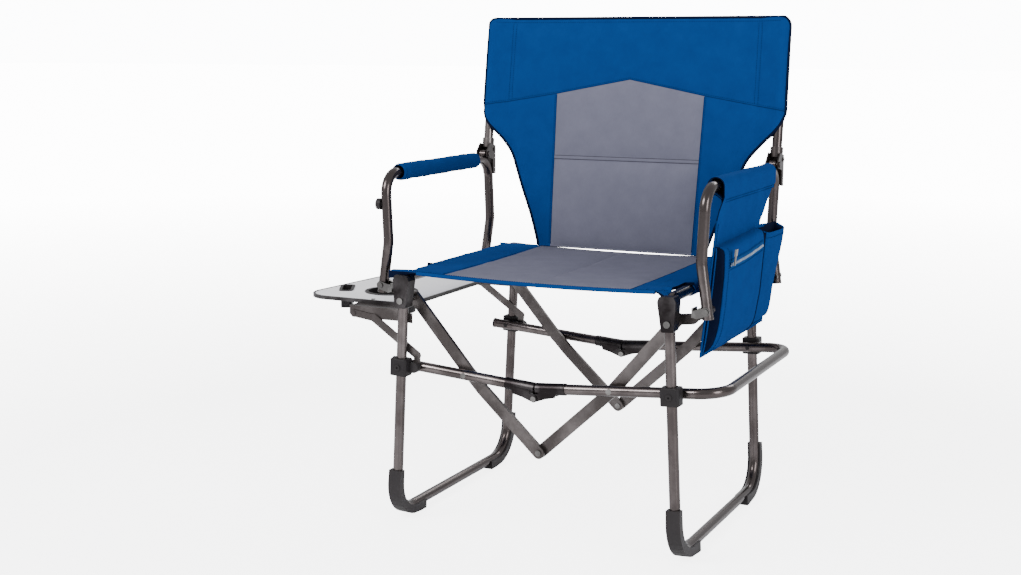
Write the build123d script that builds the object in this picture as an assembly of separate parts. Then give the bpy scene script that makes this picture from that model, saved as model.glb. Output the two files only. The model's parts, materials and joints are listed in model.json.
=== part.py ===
from build123d import *
import math
import os

os.makedirs("parts", exist_ok=True)

# ---- driving sizes, millimetres; X to the sitter's right seen from the front, Y rearwards, Z up ----
TUBE = 19.0            # outer diameter of the main tubes
WALL = 1.5             # tube wall
SPLAY = 2.84           # degrees each side frame leans in towards the top
LEG_HALF = 276.0       # half width between leg axes at the floor
LEG_Y = 232.0          # half depth between leg axes
RAIL_Z = 16.0          # height of the floor rail axis
FOOT_BEND = 58.0
LEG_TOP = 430.0        # leg tube ends here, inside the corner bracket
SEAT_Z = 462.0         # seat rail axis
SEAT_BEND = 28.0
PIVOT_Z = 420.0        # brace pivot on the leg
COLLAR_Z = 296.5       # sliding collar at rest
APEX_Z = 156.0         # crossing of the V braces
CROSS_X, CROSS_Z = 141.5, 287.5   # brace and stretcher crossing
ARM_PIVOT_DX, ARM_PIVOT_DZ = 57.0, 21.0
ARM_Y = 206.5
ARM_X = 300.0
ARM_TOP_X = 305.0
ARM_KINK_Z = 521.0
ARM_Z = 645.0
ARM_BEND = 38.0
BACK_LEAN = 8.0        # degrees
BACK_PIN_Y, BACK_PIN_Z = 188.5, 655.0
BACK_POST_OFFSET = 18.0
BACK_TOP = 932.0
LOOP_OUT = 82.0        # outer run of the loop, beyond the leg
LOOP_BEND = 48.0
STRETCH_IN = 22.7      # stretcher axis, inwards of the leg axis in Y
BRACE_W, BRACE_T = 22.0, 8.0
BRACE_UP_IN = 40.8     # upper brace plane, inwards of the leg axis
BRACE_JOG = 4.2        # half of the joggle between left and right bars
KNUCKLE_DROP = 16.4
TABLE_Z = 406.0
TABLE_T = 7.0
TABLE_HINGE_X, TABLE_HINGE_Z = 266.0, 385.0
TABLE_INNER, TABLE_OUTER = 268.0, 509.0
TABLE_FRONT, TABLE_REAR = -190.0, 218.6
CUP_X, CUP_Y, CUP_R, CUP_DEPTH = 368.0, -84.0, 46.5, 40.0
CUP_LIP = 5.0
SLOT_X, SLOT_Y, SLOT_TURN = 464.0, -92.0, 62.0
SLOT_DEPTH = 34.0
BRACE_END_X = 369.0    # upper pin of the table braces
GAP = 0.3
RUN = 0.05             # running clearance of the pivots
PIVOT_R, PIN_R, KNUCKLE_PIN_R = 4.0, 3.5, 3.0
BRACKET_IN, BRACKET_OUT = 12.4, 13.0   # faces of the corner brackets, either side of the leg axis
SHEET_OUT = 2.9        # outer face of the hinge cheeks, beyond the tube
EAR_X = -26.0          # pin of the table brace on the collar's ear, from the leg axis
COVER_WALL = 3.6       # cloth and foam of the right armrest cover
CENTRE = (-75.04, 4.23)  # middle of the whole outline, moved to the origin

T = math.tan(math.radians(SPLAY))
R = TUBE / 2


def leg_x(z):
    return LEG_HALF - z * T


BUILT = {}


def keep(name, shape):
    """Write one node of the object, moved so that the middle of the outline stands on the origin."""
    solids = shape.solids()
    shape = solids[0] if len(solids) == 1 else Compound(children=list(solids))
    export_step(Pos(-CENTRE[0], -CENTRE[1], 0) * shape, f"parts/{name}.step")
    BUILT[name] = shape


def largest(shape):
    return sorted(shape.solids(), key=lambda s: s.volume)[-1]


def flip(shape):
    return mirror(shape, about=Plane.YZ)


def path(points, bends):
    """A wire through the points, each inner corner rounded to its bend radius."""
    pts = [Vector(*p) for p in points]
    edges, start = [], pts[0]
    for i in range(1, len(pts) - 1):
        a = (pts[i - 1] - pts[i]).normalized()
        b = (pts[i + 1] - pts[i]).normalized()
        half = math.acos(max(-1.0, min(1.0, a.dot(b)))) / 2
        reach = bends[i - 1] / math.tan(half)
        centre = pts[i] + (a + b).normalized() * (bends[i - 1] / math.sin(half))
        mid = centre + (pts[i] - centre).normalized() * bends[i - 1]
        p, q = pts[i] + a * reach, pts[i] + b * reach
        if (p - start).length > 1e-4:
            edges.append(Edge.make_line(start, p))
        edges.append(Edge.make_three_point_arc(p, mid, q))
        start = q
    edges.append(Edge.make_line(start, pts[-1]))
    return Wire(edges)


def rod(points, bends, radius=R):
    line = path(points, bends)
    face = Plane(origin=line @ 0, z_dir=line % 0) * Circle(radius)
    return sweep(face, path=line)


def tube(points, bends, radius=R, wall=WALL):
    line = path(points, bends)
    face = Plane(origin=line @ 0, z_dir=line % 0) * (Circle(radius) - Circle(radius - wall))
    return sweep(face, path=line)


def pin(x, z, y0, y1, radius):
    """Round pin along Y."""
    return Pos(x, (y0 + y1) / 2, z) * Rot(90, 0, 0) * Cylinder(radius, abs(y1 - y0))


def xpin(y, z, x0, x1, radius):
    return Pos((x0 + x1) / 2, y, z) * Rot(0, 90, 0) * Cylinder(radius, abs(x1 - x0))


def block(x0, x1, y0, y1, z0, z1):
    return Pos((x0 + x1) / 2, (y0 + y1) / 2, (z0 + z1) / 2) * Box(
        abs(x1 - x0), abs(y1 - y0), abs(z1 - z0))


def link(p, q, width, y0, y1):
    """Flat bar with rounded ends between two points of the XZ plane."""
    dx, dz = q[0] - p[0], q[1] - p[1]
    length = math.hypot(dx, dz)
    face = SlotCenterToCenter(length, width)
    lo, hi = min(y0, y1), max(y0, y1)
    turn = -math.degrees(math.atan2(dz, dx))
    return (Pos((p[0] + q[0]) / 2, hi, (p[1] + q[1]) / 2) * Rot(0, turn, 0)
            * Rot(90, 0, 0) * extrude(face, hi - lo))


def plate_xz(points, y0, y1):
    lo, hi = min(y0, y1), max(y0, y1)
    face = make_face(Polyline(*[(x, z) for x, z in points], close=True))
    return Pos(0, hi, 0) * Rot(90, 0, 0) * extrude(face, hi - lo)


def plate_yz(points, x0, x1):
    lo, hi = min(x0, x1), max(x0, x1)
    face = make_face(Polyline(*points, close=True))
    return Pos(lo, 0, 0) * extrude(Plane.YZ * face, hi - lo)


def both(shapes):
    """One shape out of several that may touch."""
    total = shapes[0]
    for s in shapes[1:]:
        total = total + s
    return total


def leaned(shape):
    """Lean a piece built upright at x = 0 into the right leg's plane."""
    return Pos(LEG_HALF, 0, 0) * Rot(0, -SPLAY, 0) * shape


A = (leg_x(PIVOT_Z), PIVOT_Z)
E = (leg_x(COLLAR_Z), COLLAR_Z)
B = (CROSS_X, CROSS_Z)
C = (0.0, APEX_Z)
P = (A[0] + ARM_PIVOT_DX, A[1] + ARM_PIVOT_DZ)
SLOPE = (E[1] - B[1]) / (E[0] - B[0])
KNEE_Z = B[1] - B[0] * SLOPE
K = (0.0, KNEE_Z - KNUCKLE_DROP)
ENDS = {"front": -1, "rear": 1}

# ---- side frames ----
leg_path = [(0, -LEG_Y, LEG_TOP), (0, -LEG_Y, RAIL_Z), (0, LEG_Y, RAIL_Z), (0, LEG_Y, LEG_TOP)]
leg_solid = leaned(rod(leg_path, [FOOT_BEND, FOOT_BEND]))
leg_loop = leaned(tube(leg_path, [FOOT_BEND, FOOT_BEND]))
rail_path = [(0, -LEG_Y, LEG_TOP + 2), (0, -LEG_Y, SEAT_Z), (0, LEG_Y, SEAT_Z), (0, LEG_Y, LEG_TOP + 2)]
rail_solid = leaned(rod(rail_path, [SEAT_BEND, SEAT_BEND]))
seat_rail = leaned(tube(rail_path, [SEAT_BEND, SEAT_BEND]))
RAIL_X = LEG_HALF - SEAT_Z * math.sin(math.radians(SPLAY))
RAIL_Z2 = SEAT_Z * math.cos(math.radians(SPLAY))


def leg_hole(sy):
    return pin(*A, sy * (LEG_Y - 20), sy * (LEG_Y + 20), PIVOT_R)


def corner_bracket(sy):
    outline = [(-11, PIVOT_Z - 13), (11, PIVOT_Z - 13), (16.5, SEAT_Z - 4), (13, SEAT_Z + 5),
               (-13, SEAT_Z + 5), (-16.5, SEAT_Z - 4)]
    body = plate_xz(outline, sy * (LEG_Y - BRACKET_IN), sy * (LEG_Y + BRACKET_OUT))
    body = fillet(body.edges().filter_by(Axis.Y), 3)
    body = leaned(body) - leg_solid - rail_solid
    # room for the rail's run towards the rear
    body = body - leaned(block(-R - 0.01, R + 0.01, sy * (LEG_Y - 14), sy * (LEG_Y - 5),
                               SEAT_Z - R, SEAT_Z + 8))
    body = body - leg_hole(sy)
    return largest(body)


def foot(sy):
    """Moulded boot round the outside of the bottom corner."""
    c = (LEG_Y - FOOT_BEND, RAIL_Z + FOOT_BEND)
    grow = R + 4.5
    arc_o, arc_i = FOOT_BEND + grow, FOOT_BEND - 2.0
    steps = [math.radians(a) for a in range(0, 91, 10)]
    outer = [(c[0] + arc_o * math.cos(a), max(c[1] - arc_o * math.sin(a), -1.5)) for a in steps]
    inner = [(c[0] + arc_i * math.cos(a), c[1] - arc_i * math.sin(a)) for a in reversed(steps)]
    rise, run = 26, 34
    pts = [(c[0] + arc_i, c[1] + rise), (c[0] + arc_o - 2, c[1] + rise)] + outer
    pts += [(c[0] - run, -1.5), (c[0] - run, RAIL_Z + 2.0)] + inner
    pts = [(sy * y, z) for y, z in pts]
    body = plate_yz(pts, -R - 3.4, R + 3.4)
    body = leaned(body) - leg_solid
    body = body - block(0, 600, -400, 400, -20, 0)
    return largest(body)


leg_loop = leg_loop - leg_hole(-1) - leg_hole(1)
PIVOT_HEAD_R, PIVOT_HEAD_T, SPACER_R = 6.0, 2.5, 6.5


def frame_pin(sy):
    """Pivot of a brace on the leg: shank through bracket and leg, a head outside, a spacer inside."""
    outside, inside = sy * (LEG_Y + BRACKET_OUT), sy * (LEG_Y - BRACKET_IN)
    shank = pin(*A, outside, sy * (LEG_Y - BRACE_UP_IN - BRACE_T / 2), PIVOT_R)
    head = pin(*A, outside, outside + sy * PIVOT_HEAD_T, PIVOT_HEAD_R)
    return both([shank, head, pin(*A, inside, sy * (LEG_Y - BRACE_UP_IN + BRACE_T / 2 + GAP), SPACER_R)])


sides = {"right": lambda s: s, "left": flip}
for side, put in sides.items():
    keep(f"leg_loop_{side}", put(leg_loop))
    keep(f"seat_rail_{side}", put(seat_rail))
    for end, sy in ENDS.items():
        keep(f"corner_bracket_{end}_{side}", put(corner_bracket(sy)))
    keep(f"feet_{side}", put(Compound(children=[foot(-1), foot(1)])))
    keep(f"brace_pivots_{side}", put(Compound(children=[frame_pin(-1), frame_pin(1)])))

# ---- sliding collars: nylon blocks with a pivot stub on the inner face ----
COLLAR_HX, COLLAR_HZ = 17.0, 16.0
COLLAR_IN, COLLAR_OUT = 12.6, 15.0
EAR_IN, EAR_R = 8.6, 9.0


def collar(sy, ear):
    body = block(-COLLAR_HX, COLLAR_HX, sy * (LEG_Y - COLLAR_IN), sy * (LEG_Y + COLLAR_OUT),
                 -COLLAR_HZ, COLLAR_HZ)
    body = fillet(body.edges().filter_by(Axis.Z), 5)
    body = fillet(body.edges().filter_by(Axis.Y), 2)
    screw = Pos(0, sy * (LEG_Y + 15.5), 0) * Rot(90, 0, 0) * (Cylinder(5.5, 2.4) - Cylinder(2.2, 8))
    body = body + screw
    if ear:
        y0, y1 = sy * (LEG_Y - EAR_IN), sy * (LEG_Y + 2)
        lug = block(EAR_X, -COLLAR_HX + 2, y0, y1, -EAR_R, EAR_R)
        body = body + lug + pin(EAR_X, 0, y0, y1, EAR_R)
    body = Pos(0, 0, COLLAR_Z / math.cos(math.radians(SPLAY))) * body
    body = leaned(body)
    body = body - leaned(Pos(0, sy * LEG_Y, COLLAR_Z) * Cylinder(R + GAP, 80))
    body = body + pin(*E, sy * (LEG_Y - 12.5), sy * (LEG_Y - STRETCH_IN - R), PIVOT_R)
    if ear:
        body = body + pin(*table_low_right(), sy * (LEG_Y - EAR_IN), sy * (LEG_Y - 13.0), PIN_R)
    return body


def table_low_right():
    """Lower pin of the table brace, on the collar's ear, mirrored to the right side."""
    z = COLLAR_Z / math.cos(math.radians(SPLAY))
    a = math.radians(-SPLAY)
    return (LEG_HALF + EAR_X * math.cos(a) + z * math.sin(a), -EAR_X * math.sin(a) + z * math.cos(a))


for side, put in sides.items():
    for end, sy in ENDS.items():
        keep(f"collar_{end}_{side}", put(collar(sy, side == "left")))

# ---- stretchers, knuckles and the outer loop ----


def along(x):
    return B[1] + (x - B[0]) * SLOPE


RIVET_SINK, RIVET_R = 1.6, 5.2
EAR_OUTER = 11.7       # outer face of the outer knuckle ears, from the stretcher axis


def run_holes(body, sy):
    y = sy * (LEG_Y - STRETCH_IN)
    body = body - pin(*E, y + R + 2, y - R - 2, PIVOT_R + RUN) - pin(*B, y + R + 2, y - R - 2, PIN_R)
    return body - pin(*B, y + sy * (R - RIVET_SINK), y + sy * (R + 2), RIVET_R)


stretch_y = LEG_Y - STRETCH_IN
INNER_X, OUTER_MORE = 1.5, 27.0   # ends of a stretcher: at the knuckle and beyond the collar
end_x = E[0] + OUTER_MORE
for end, sy in ENDS.items():
    y = sy * stretch_y
    run = tube([(INNER_X, y, along(INNER_X)), (end_x, y, along(end_x))], [])
    keep(f"stretcher_{end}_left", flip(run_holes(run, sy)))
out_x = E[0] + LOOP_OUT
loop = tube([(INNER_X, -stretch_y, along(INNER_X)), (out_x, -stretch_y, along(out_x)),
             (out_x, stretch_y, along(out_x)), (INNER_X, stretch_y, along(INNER_X))],
            [LOOP_BEND, LOOP_BEND])
loop = run_holes(run_holes(loop, -1), 1)
keep("stretcher_loop_right", loop)


def knuckle(sy, inner):
    """Sleeve round a stretcher end with two ears that reach the pin under it."""
    y = sy * stretch_y
    sleeve = tube([(2.0, y, along(2.0)), (58, y, along(58))], [], R + 1.3, 1.3)
    lo, hi = (7.2, 9.3) if inner else (9.6, EAR_OUTER)
    parts = [sleeve]
    for s in (-1, 1):
        ear = link((K[0], K[1]), (20, KNEE_Z - 9.0), 13, y + s * lo, y + s * hi)
        web = plate_xz([(6, KNEE_Z - 1), (46, along(46) - 1), (40, KNEE_Z - 11), (14, KNEE_Z - 17)],
                       y + s * lo, y + s * hi)
        parts += [ear, web]
    body = both(parts)
    body = body - rod([(1.0, y, along(1.0)), (70, y, along(70))], [])
    body = body - block(-9, 1.0, y - 20, y + 20, KNEE_Z - 9.6, KNEE_Z + 30)
    return body - pin(*K, y - 20, y + 20, KNUCKLE_PIN_R + (RUN if inner else 0.0))


def knuckle_pin(sy):
    y, reach, head = sy * stretch_y, EAR_OUTER, EAR_OUTER + 1.8
    return both([pin(*K, y - reach, y + reach, KNUCKLE_PIN_R), pin(*K, y - head, y - reach, 5.0),
                 pin(*K, y + reach, y + head, 5.0)])


def end_cap(sy):
    y = sy * stretch_y
    start = Vector(end_x, y, along(end_x))
    end = start + Vector(1, 0, SLOPE).normalized() * 3.0
    return rod([tuple(start), tuple(end)], [], R + 0.6)


def crossing_rivet(sy):
    """Holds a brace to the stretcher it crosses; its head is sunk into the tube."""
    y = sy * stretch_y
    outer, in_face = y + sy * R, sy * (LEG_Y - BRACE_UP_IN + BRACE_T / 2 + 0.1)
    stem = pin(*B, outer - sy * 0.4, in_face, PIN_R)
    return both([stem, pin(*B, outer - sy * RIVET_SINK, outer + sy * 0.2, RIVET_R)])


for side, put, inner in (("left", flip, False), ("right", lambda s: s, True)):
    keep(f"knuckles_{side}", put(Compound(children=[knuckle(-1, inner), knuckle(1, inner)])))
keep("knuckle_pins", Compound(children=[knuckle_pin(-1), knuckle_pin(1)]))
keep("stretcher_caps_left", flip(Compound(children=[end_cap(-1), end_cap(1)])))
for side, put in sides.items():
    keep(f"stretcher_rivets_{side}", put(Compound(children=[crossing_rivet(-1), crossing_rivet(1)])))

# ---- V braces with the curved arms that carry the armrests ----
BAR_LEN = math.hypot(A[0] - C[0], A[1] - C[1])
HEAD_R = 5.5
JOG_AT = (0.50, 0.58)


def brace(sy, low):
    """One bar; its lower half is set over by the joggle, low = +1 towards the outside."""
    up = sy * (LEG_Y - BRACE_UP_IN)
    dn = up + sy * low * BRACE_JOG
    h = BRACE_T / 2
    u = ((C[0] - A[0]) / BAR_LEN, (C[1] - A[1]) / BAR_LEN)
    prof = [(-120, up - h), (BAR_LEN * JOG_AT[0], up - h), (BAR_LEN * JOG_AT[1], dn - h),
            (BAR_LEN + 30, dn - h), (BAR_LEN + 30, dn + h), (BAR_LEN * JOG_AT[1], dn + h),
            (BAR_LEN * JOG_AT[0], up + h), (-120, up + h)]
    plane = Plane(origin=(A[0], 0, A[1]), x_dir=(u[0], 0, u[1]), z_dir=(-u[1], 0, u[0]))
    if plane.y_dir.Y < 0:
        prof = [(s, -y) for s, y in prof]
    slab = extrude(plane * make_face(Polyline(*prof, close=True)), 90, both=True)
    near, far = 100 * sy, 300 * sy
    knee = (A[0] + 27, A[1] + 3)
    shape = both([link(A, B, BRACE_W, near, far), link(B, C, BRACE_W, near, far)])
    arm = both([link(A, knee, 18, near, far), link(knee, P, 15, near, far)])
    body = (shape + arm) & slab
    return body - pin(*A, near, far, PIVOT_R + RUN) - pin(*P, near, far, PIN_R)


def clevis(sy):
    """Small bright fork, riveted to the brace arm, round the foot of the armrest post."""
    face = sy * (LEG_Y - BRACE_UP_IN + BRACE_T / 2)
    y = sy * ARM_Y
    back = link((P[0] - 10, P[1] - 3), P, 15, face, y - sy * (R + 0.35))
    outer, root = y + sy * (R + 2.4), (P[0] - 16, P[1] - 5)
    front = link(root, P, 15, y + sy * (R + 0.35), outer)
    side = block(P[0] - 24, P[0] - 21.5, face, outer, P[1] - 11, P[1] + 5)
    body = both([back, front, side, link(root, P, 15, face, y - sy * (R + 0.35))])
    axle = pin(*P, sy * (LEG_Y - BRACE_UP_IN - BRACE_T / 2), outer, PIN_R)
    head = pin(*P, outer, outer + sy * 2.0, HEAD_R)
    return both([body, axle, head])


for side, put in sides.items():
    for end, sy in ENDS.items():
        # the left bar always lies nearer the front where the two cross
        low = (1 if side == "left" else -1) * (1 if end == "front" else -1)
        keep(f"brace_{end}_{side}", put(brace(sy, low)))
apex = {"left": [], "right": []}
for sy in (-1, 1):
    up = sy * (LEG_Y - BRACE_UP_IN)
    for side in apex:
        low = (1 if side == "left" else -1) * (1 if sy < 0 else -1)
        face = up + sy * low * (BRACE_JOG + BRACE_T / 2)
        apex[side].append(pin(0, APEX_Z, face, face + sy * low * 2.0, HEAD_R))
for side, put in sides.items():
    keep(f"brace_fittings_{side}", Compound(children=[put(clevis(-1)), put(clevis(1))] + apex[side]))

# ---- armrest loops ----
KINK_BEND = 60.0
arm_foot = (P[0] + 1.0, P[1] - 11)
arm_points = [(arm_foot[0], -ARM_Y, arm_foot[1]), (ARM_X, -ARM_Y, ARM_KINK_Z), (ARM_TOP_X, -ARM_Y, ARM_Z),
              (ARM_TOP_X, ARM_Y, ARM_Z), (ARM_X, ARM_Y, ARM_KINK_Z), (arm_foot[0], ARM_Y, arm_foot[1])]
arm_bends = [KINK_BEND, ARM_BEND, ARM_BEND, KINK_BEND]
arm_solid = rod(arm_points, arm_bends)
arm_loop = tube(arm_points, arm_bends)
for sy in (-1, 1):
    arm_loop = arm_loop - pin(*P, sy * (ARM_Y - 14), sy * (ARM_Y + 14), PIN_R + RUN)
lug_x = ARM_TOP_X
lug = both([xpin(BACK_PIN_Y, BACK_PIN_Z, lug_x - 6, lug_x + 6, 8),
            plate_yz([(BACK_PIN_Y - 8, BACK_PIN_Z), (BACK_PIN_Y + 8, BACK_PIN_Z),
                      (BACK_PIN_Y + 2, BACK_PIN_Z - 26), (BACK_PIN_Y - 20, BACK_PIN_Z - 14)],
                     lug_x - 6, lug_x + 6)])
lug = lug - arm_solid
lug = largest(lug) - xpin(BACK_PIN_Y, BACK_PIN_Z, 200, 400, PIVOT_R + RUN)
foot_plug = Compound(children=[
    rod([(arm_foot[0], sy * ARM_Y, arm_foot[1]), (arm_foot[0] + 0.3, sy * ARM_Y, arm_foot[1] - 3)],
        [], R + 0.3)
    for sy in (-1, 1)])
for side, put in sides.items():
    keep(f"arm_loop_{side}", put(Compound(children=[arm_loop, lug] + list(foot_plug.solids()))))

PAD_R = 16.0


def arm_roll(y0, y1, radius):
    """A round bar along the level part of the armrest."""
    return rod([(ARM_TOP_X, y0, ARM_Z), (ARM_TOP_X, y1, ARM_Z)], [], radius)


pad = arm_roll(-160, 148, PAD_R) - arm_roll(-180, 160, R + 0.1)
keep("armrest_pad_left", flip(pad))
knob_z, knob_x = 590.0, ARM_X + 12.5
knob = both([xpin(-ARM_Y, knob_z, knob_x, knob_x + 9, 10.5), xpin(-ARM_Y, knob_z, knob_x - 8, knob_x, 6)])
knob = knob - arm_solid - block(knob_x + 6.5, knob_x + 12, -ARM_Y - 1.3, -ARM_Y + 1.3, 570, 610)
keep("arm_knob_left", flip(largest(knob)))

# ---- right armrest cover with the hanging pockets ----
sleeve = arm_roll(-158, 150, R + COVER_WALL) - arm_roll(-180, 160, R + 0.1)
keep("armrest_cover_right", sleeve)
PANEL_TOP, PANEL_LOW = (321.0, 636.0), (292.0, 356.0)
PANEL_Y = 182.0


def panel_x(z, off=0.0):
    t = (PANEL_TOP[1] - z) / (PANEL_TOP[1] - PANEL_LOW[1])
    return PANEL_TOP[0] + (PANEL_LOW[0] - PANEL_TOP[0]) * t + off


def slab(z0, z1, off0, off1, y0, y1):
    return plate_xz([(panel_x(z0, off0), z0), (panel_x(z0, off1), z0),
                     (panel_x(z1, off1), z1), (panel_x(z1, off0), z1)], y0, y1)


cover_hang = slab(PANEL_LOW[1], PANEL_TOP[1], 0, 2.0, -PANEL_Y, PANEL_Y)
keep("pocket_panel_right", cover_hang - sleeve - arm_roll(-180, 160, R + COVER_WALL))
POCKET_DEPTH, POCKET_WALL = 30.0, 2.0


def pocket(z0, z1, y0, y1, open_by):
    """A box of cloth on the panel; open_by lifts the inside through its top."""
    w = POCKET_WALL
    inside = slab(z0 + w, z1 - w + open_by, 2 * w, POCKET_DEPTH - w, y0 + w, y1 - w)
    return slab(z0, z1, w, POCKET_DEPTH, y0, y1) - inside


zip_pocket = pocket(PANEL_LOW[1] + 6, 552, -176, 50, 0)
keep("zip_pocket_right", zip_pocket - slab(531, 537, POCKET_DEPTH - 3, POCKET_DEPTH + 1, -160, 36))
keep("bottle_pocket_right", pocket(PANEL_LOW[1] + 12, 540, 62, 180, 22))
slider = slab(528, 540, POCKET_DEPTH + 0.3, POCKET_DEPTH + 3, -156, -146)
tab = slab(512, 530, POCKET_DEPTH + 0.6, POCKET_DEPTH + 2.4, -154, -148)
keep("zip_pull_right", both([slider, tab]))

# ---- back posts and their hinge brackets ----


def post_frame(shape):
    return Pos(lug_x, BACK_PIN_Y, BACK_PIN_Z) * Rot(-BACK_LEAN, 0, 0) * shape


post_len = (BACK_TOP - 14 - BACK_PIN_Z) / math.cos(math.radians(BACK_LEAN))
post = post_frame(tube([(0, BACK_POST_OFFSET, 15), (0, BACK_POST_OFFSET, post_len)], []))
plug = post_frame(rod([(0, BACK_POST_OFFSET, post_len), (0, BACK_POST_OFFSET, post_len + 3)], [], R))
collar_sleeve = post_frame(tube([(0, BACK_POST_OFFSET, 15), (0, BACK_POST_OFFSET, 34)], [], R + 2.6, 2.6))
tail_y = ARM_Y + R + 0.5
TAIL_T, TAIL_DROP = 2.2, 42.0
outer = R + SHEET_OUT
cheek = [(BACK_PIN_Y - 9, BACK_PIN_Z - 5), (BACK_PIN_Y - 9, BACK_PIN_Z + 7),
         (BACK_PIN_Y + 6, BACK_PIN_Z + 22), (tail_y + TAIL_T, BACK_PIN_Z + 16),
         (tail_y + TAIL_T, BACK_PIN_Z - TAIL_DROP), (tail_y - 7, BACK_PIN_Z - TAIL_DROP),
         (tail_y - 10, BACK_PIN_Z - 12)]
hinge_parts = [collar_sleeve]
for sx in (-1, 1):
    face = lug_x + sx * outer
    hinge_parts.append(plate_yz(cheek, lug_x + sx * (R + 2 * GAP), face))
    hinge_parts.append(xpin(BACK_PIN_Y, BACK_PIN_Z, face, face + sx * 2.2, 6))
    hinge_parts.append(xpin(BACK_PIN_Y + 24, BACK_PIN_Z + 8, face, face + sx * 1.6, 4))
hinge_parts.append(block(lug_x - outer, lug_x + outer, tail_y, tail_y + TAIL_T,
                         BACK_PIN_Z - TAIL_DROP, BACK_PIN_Z + 12))
hinge_parts.append(xpin(BACK_PIN_Y, BACK_PIN_Z, lug_x - outer, lug_x + outer, PIVOT_R))
hinge = both(hinge_parts) - post_frame(rod([(0, BACK_POST_OFFSET, 15), (0, BACK_POST_OFFSET, 90)], []))
for side, put in sides.items():
    keep(f"back_post_{side}", put(Compound(children=[post, plug])))
    keep(f"back_hinge_{side}", put(largest(hinge)))

# ---- back cloth: two wings and a centre panel, laid in the plane of the posts ----
CLOTH_T = 2.4
FOLD_X = 35.0          # where wing and centre panel meet when folded
BACK_FOOT = 480.0      # lower edge of the back cloth
z_foot = (BACK_FOOT - BACK_PIN_Z) / math.cos(math.radians(BACK_LEAN))
z_top = (BACK_TOP - BACK_PIN_Z) / math.cos(math.radians(BACK_LEAN))


def cloth(points):
    """Flat cloth in the post plane; points are (x, height above the hinge pin)."""
    face = make_face(Polyline(*points, close=True))
    flat = Pos(0, BACK_POST_OFFSET + CLOTH_T / 2, 0) * Rot(90, 0, 0) * extrude(face, CLOTH_T)
    return Pos(0, BACK_PIN_Y, BACK_PIN_Z) * Rot(-BACK_LEAN, 0, 0) * flat


wing_edge = [(316, z_top), (318, 92), (306, 66), (276, 40), (248, 8), (222, -60), (196, -120),
             (176, z_foot)]
sock = post_frame(tube([(0, BACK_POST_OFFSET, 92), (0, BACK_POST_OFFSET, z_top)], [], R + 2.4, 2.1))
wing = cloth(wing_edge + [(FOLD_X + 0.1, z_foot), (FOLD_X + 0.1, z_top)])
wing_keep = block(0, lug_x - R - GAP, 0, 400, 300, 1100)
wing = (wing & wing_keep) + sock - post_frame(
    rod([(0, BACK_POST_OFFSET, -40), (0, BACK_POST_OFFSET, 340)], [], R + GAP))
wing = largest(wing)
keep("back_wing_right", wing)
keep("back_wing_left", flip(wing))
keep("back_centre", cloth([(-FOLD_X, z_top), (FOLD_X, z_top), (FOLD_X, z_foot), (-FOLD_X, z_foot)]))
STRAP_W, STRAP_HALF, STRAP_DOWN = 24.0, 30.0, 38.0
strap_line = Polyline((-STRAP_HALF, 1.2), (-STRAP_HALF, 3.2), (-18, 14), (18, 14), (STRAP_HALF, 3.2),
                      (STRAP_HALF, 1.2), (16, 11.6), (-16, 11.6), close=True)
strap = extrude(make_face(strap_line), STRAP_W)
keep("carry_strap", Pos(0, BACK_PIN_Y, BACK_PIN_Z) * Rot(-BACK_LEAN, 0, 0)
     * Pos(0, BACK_POST_OFFSET, z_top - STRAP_DOWN) * strap)

# ---- seat cloth halves, each hung on its rail ----
SEAT_T = 2.4
SEAT_FRONT, SEAT_REAR = -226.0, 206.0
SLEEVE_FRONT, SLEEVE_REAR = -178.0, 182.0
SEAT_DIP = 8.0


def seat_half():
    top = RAIL_Z2 + R + GAP
    middle = top - SEAT_DIP
    run = plate_xz([(RAIL_X, top), (RAIL_X, top + SEAT_T), (0.2, middle + SEAT_T), (0.2, middle)],
                   SEAT_FRONT, SEAT_REAR)
    sock = pin(RAIL_X, RAIL_Z2, SLEEVE_FRONT, SLEEVE_REAR, R + GAP + SEAT_T)
    body = run + sock - pin(RAIL_X, RAIL_Z2, -300, 300, R + GAP)
    for end, sy in ENDS.items():
        body = body - leaned(block(-17.5, 17.5, sy * SLEEVE_REAR, sy * 260, SEAT_Z - 60, SEAT_Z + 30))
    return largest(body)


seat = seat_half()
keep("seat_right", seat)
keep("seat_left", flip(seat))

# ---- side table, drawn on the right and mirrored to the left ----


def table_outline(inset):
    pts = [(TABLE_INNER + inset, TABLE_FRONT + inset), (TABLE_OUTER - inset, TABLE_FRONT + inset),
           (TABLE_OUTER - 29 - inset, 70), (TABLE_INNER + 70 - inset * 0.4, TABLE_REAR - inset),
           (TABLE_INNER + inset, TABLE_REAR - inset)]
    radii = [4, 52, 60, 40, 4]
    n = len(pts)
    vs = [Vector(p[0], p[1], 0) for p in pts]
    edges, first, last = [], None, None
    for i in range(n):
        a = (vs[i - 1] - vs[i]).normalized()
        b = (vs[(i + 1) % n] - vs[i]).normalized()
        r = max(radii[i] - inset * 0.6, 1)
        half = math.acos(a.dot(b)) / 2
        c = vs[i] + (a + b).normalized() * (r / math.sin(half))
        p, q = vs[i] + a * (r / math.tan(half)), vs[i] + b * (r / math.tan(half))
        mid = c + (vs[i] - c).normalized() * r
        if last is not None:
            edges.append(Edge.make_line(last, p))
        else:
            first = p
        edges.append(Edge.make_three_point_arc(p, mid, q))
        last = q
    edges.append(Edge.make_line(last, first))
    return make_face(Wire(edges))


def cup_hole(r, z0, z1):
    return Pos(CUP_X, CUP_Y, (z0 + z1) / 2) * Cylinder(r, z1 - z0)


def slot_hole(length, width, z0, z1):
    outline = RectangleRounded(length, width, width * 0.35)
    return Pos(SLOT_X, SLOT_Y, z0) * Rot(0, 0, SLOT_TURN) * extrude(outline, z1 - z0)


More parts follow.
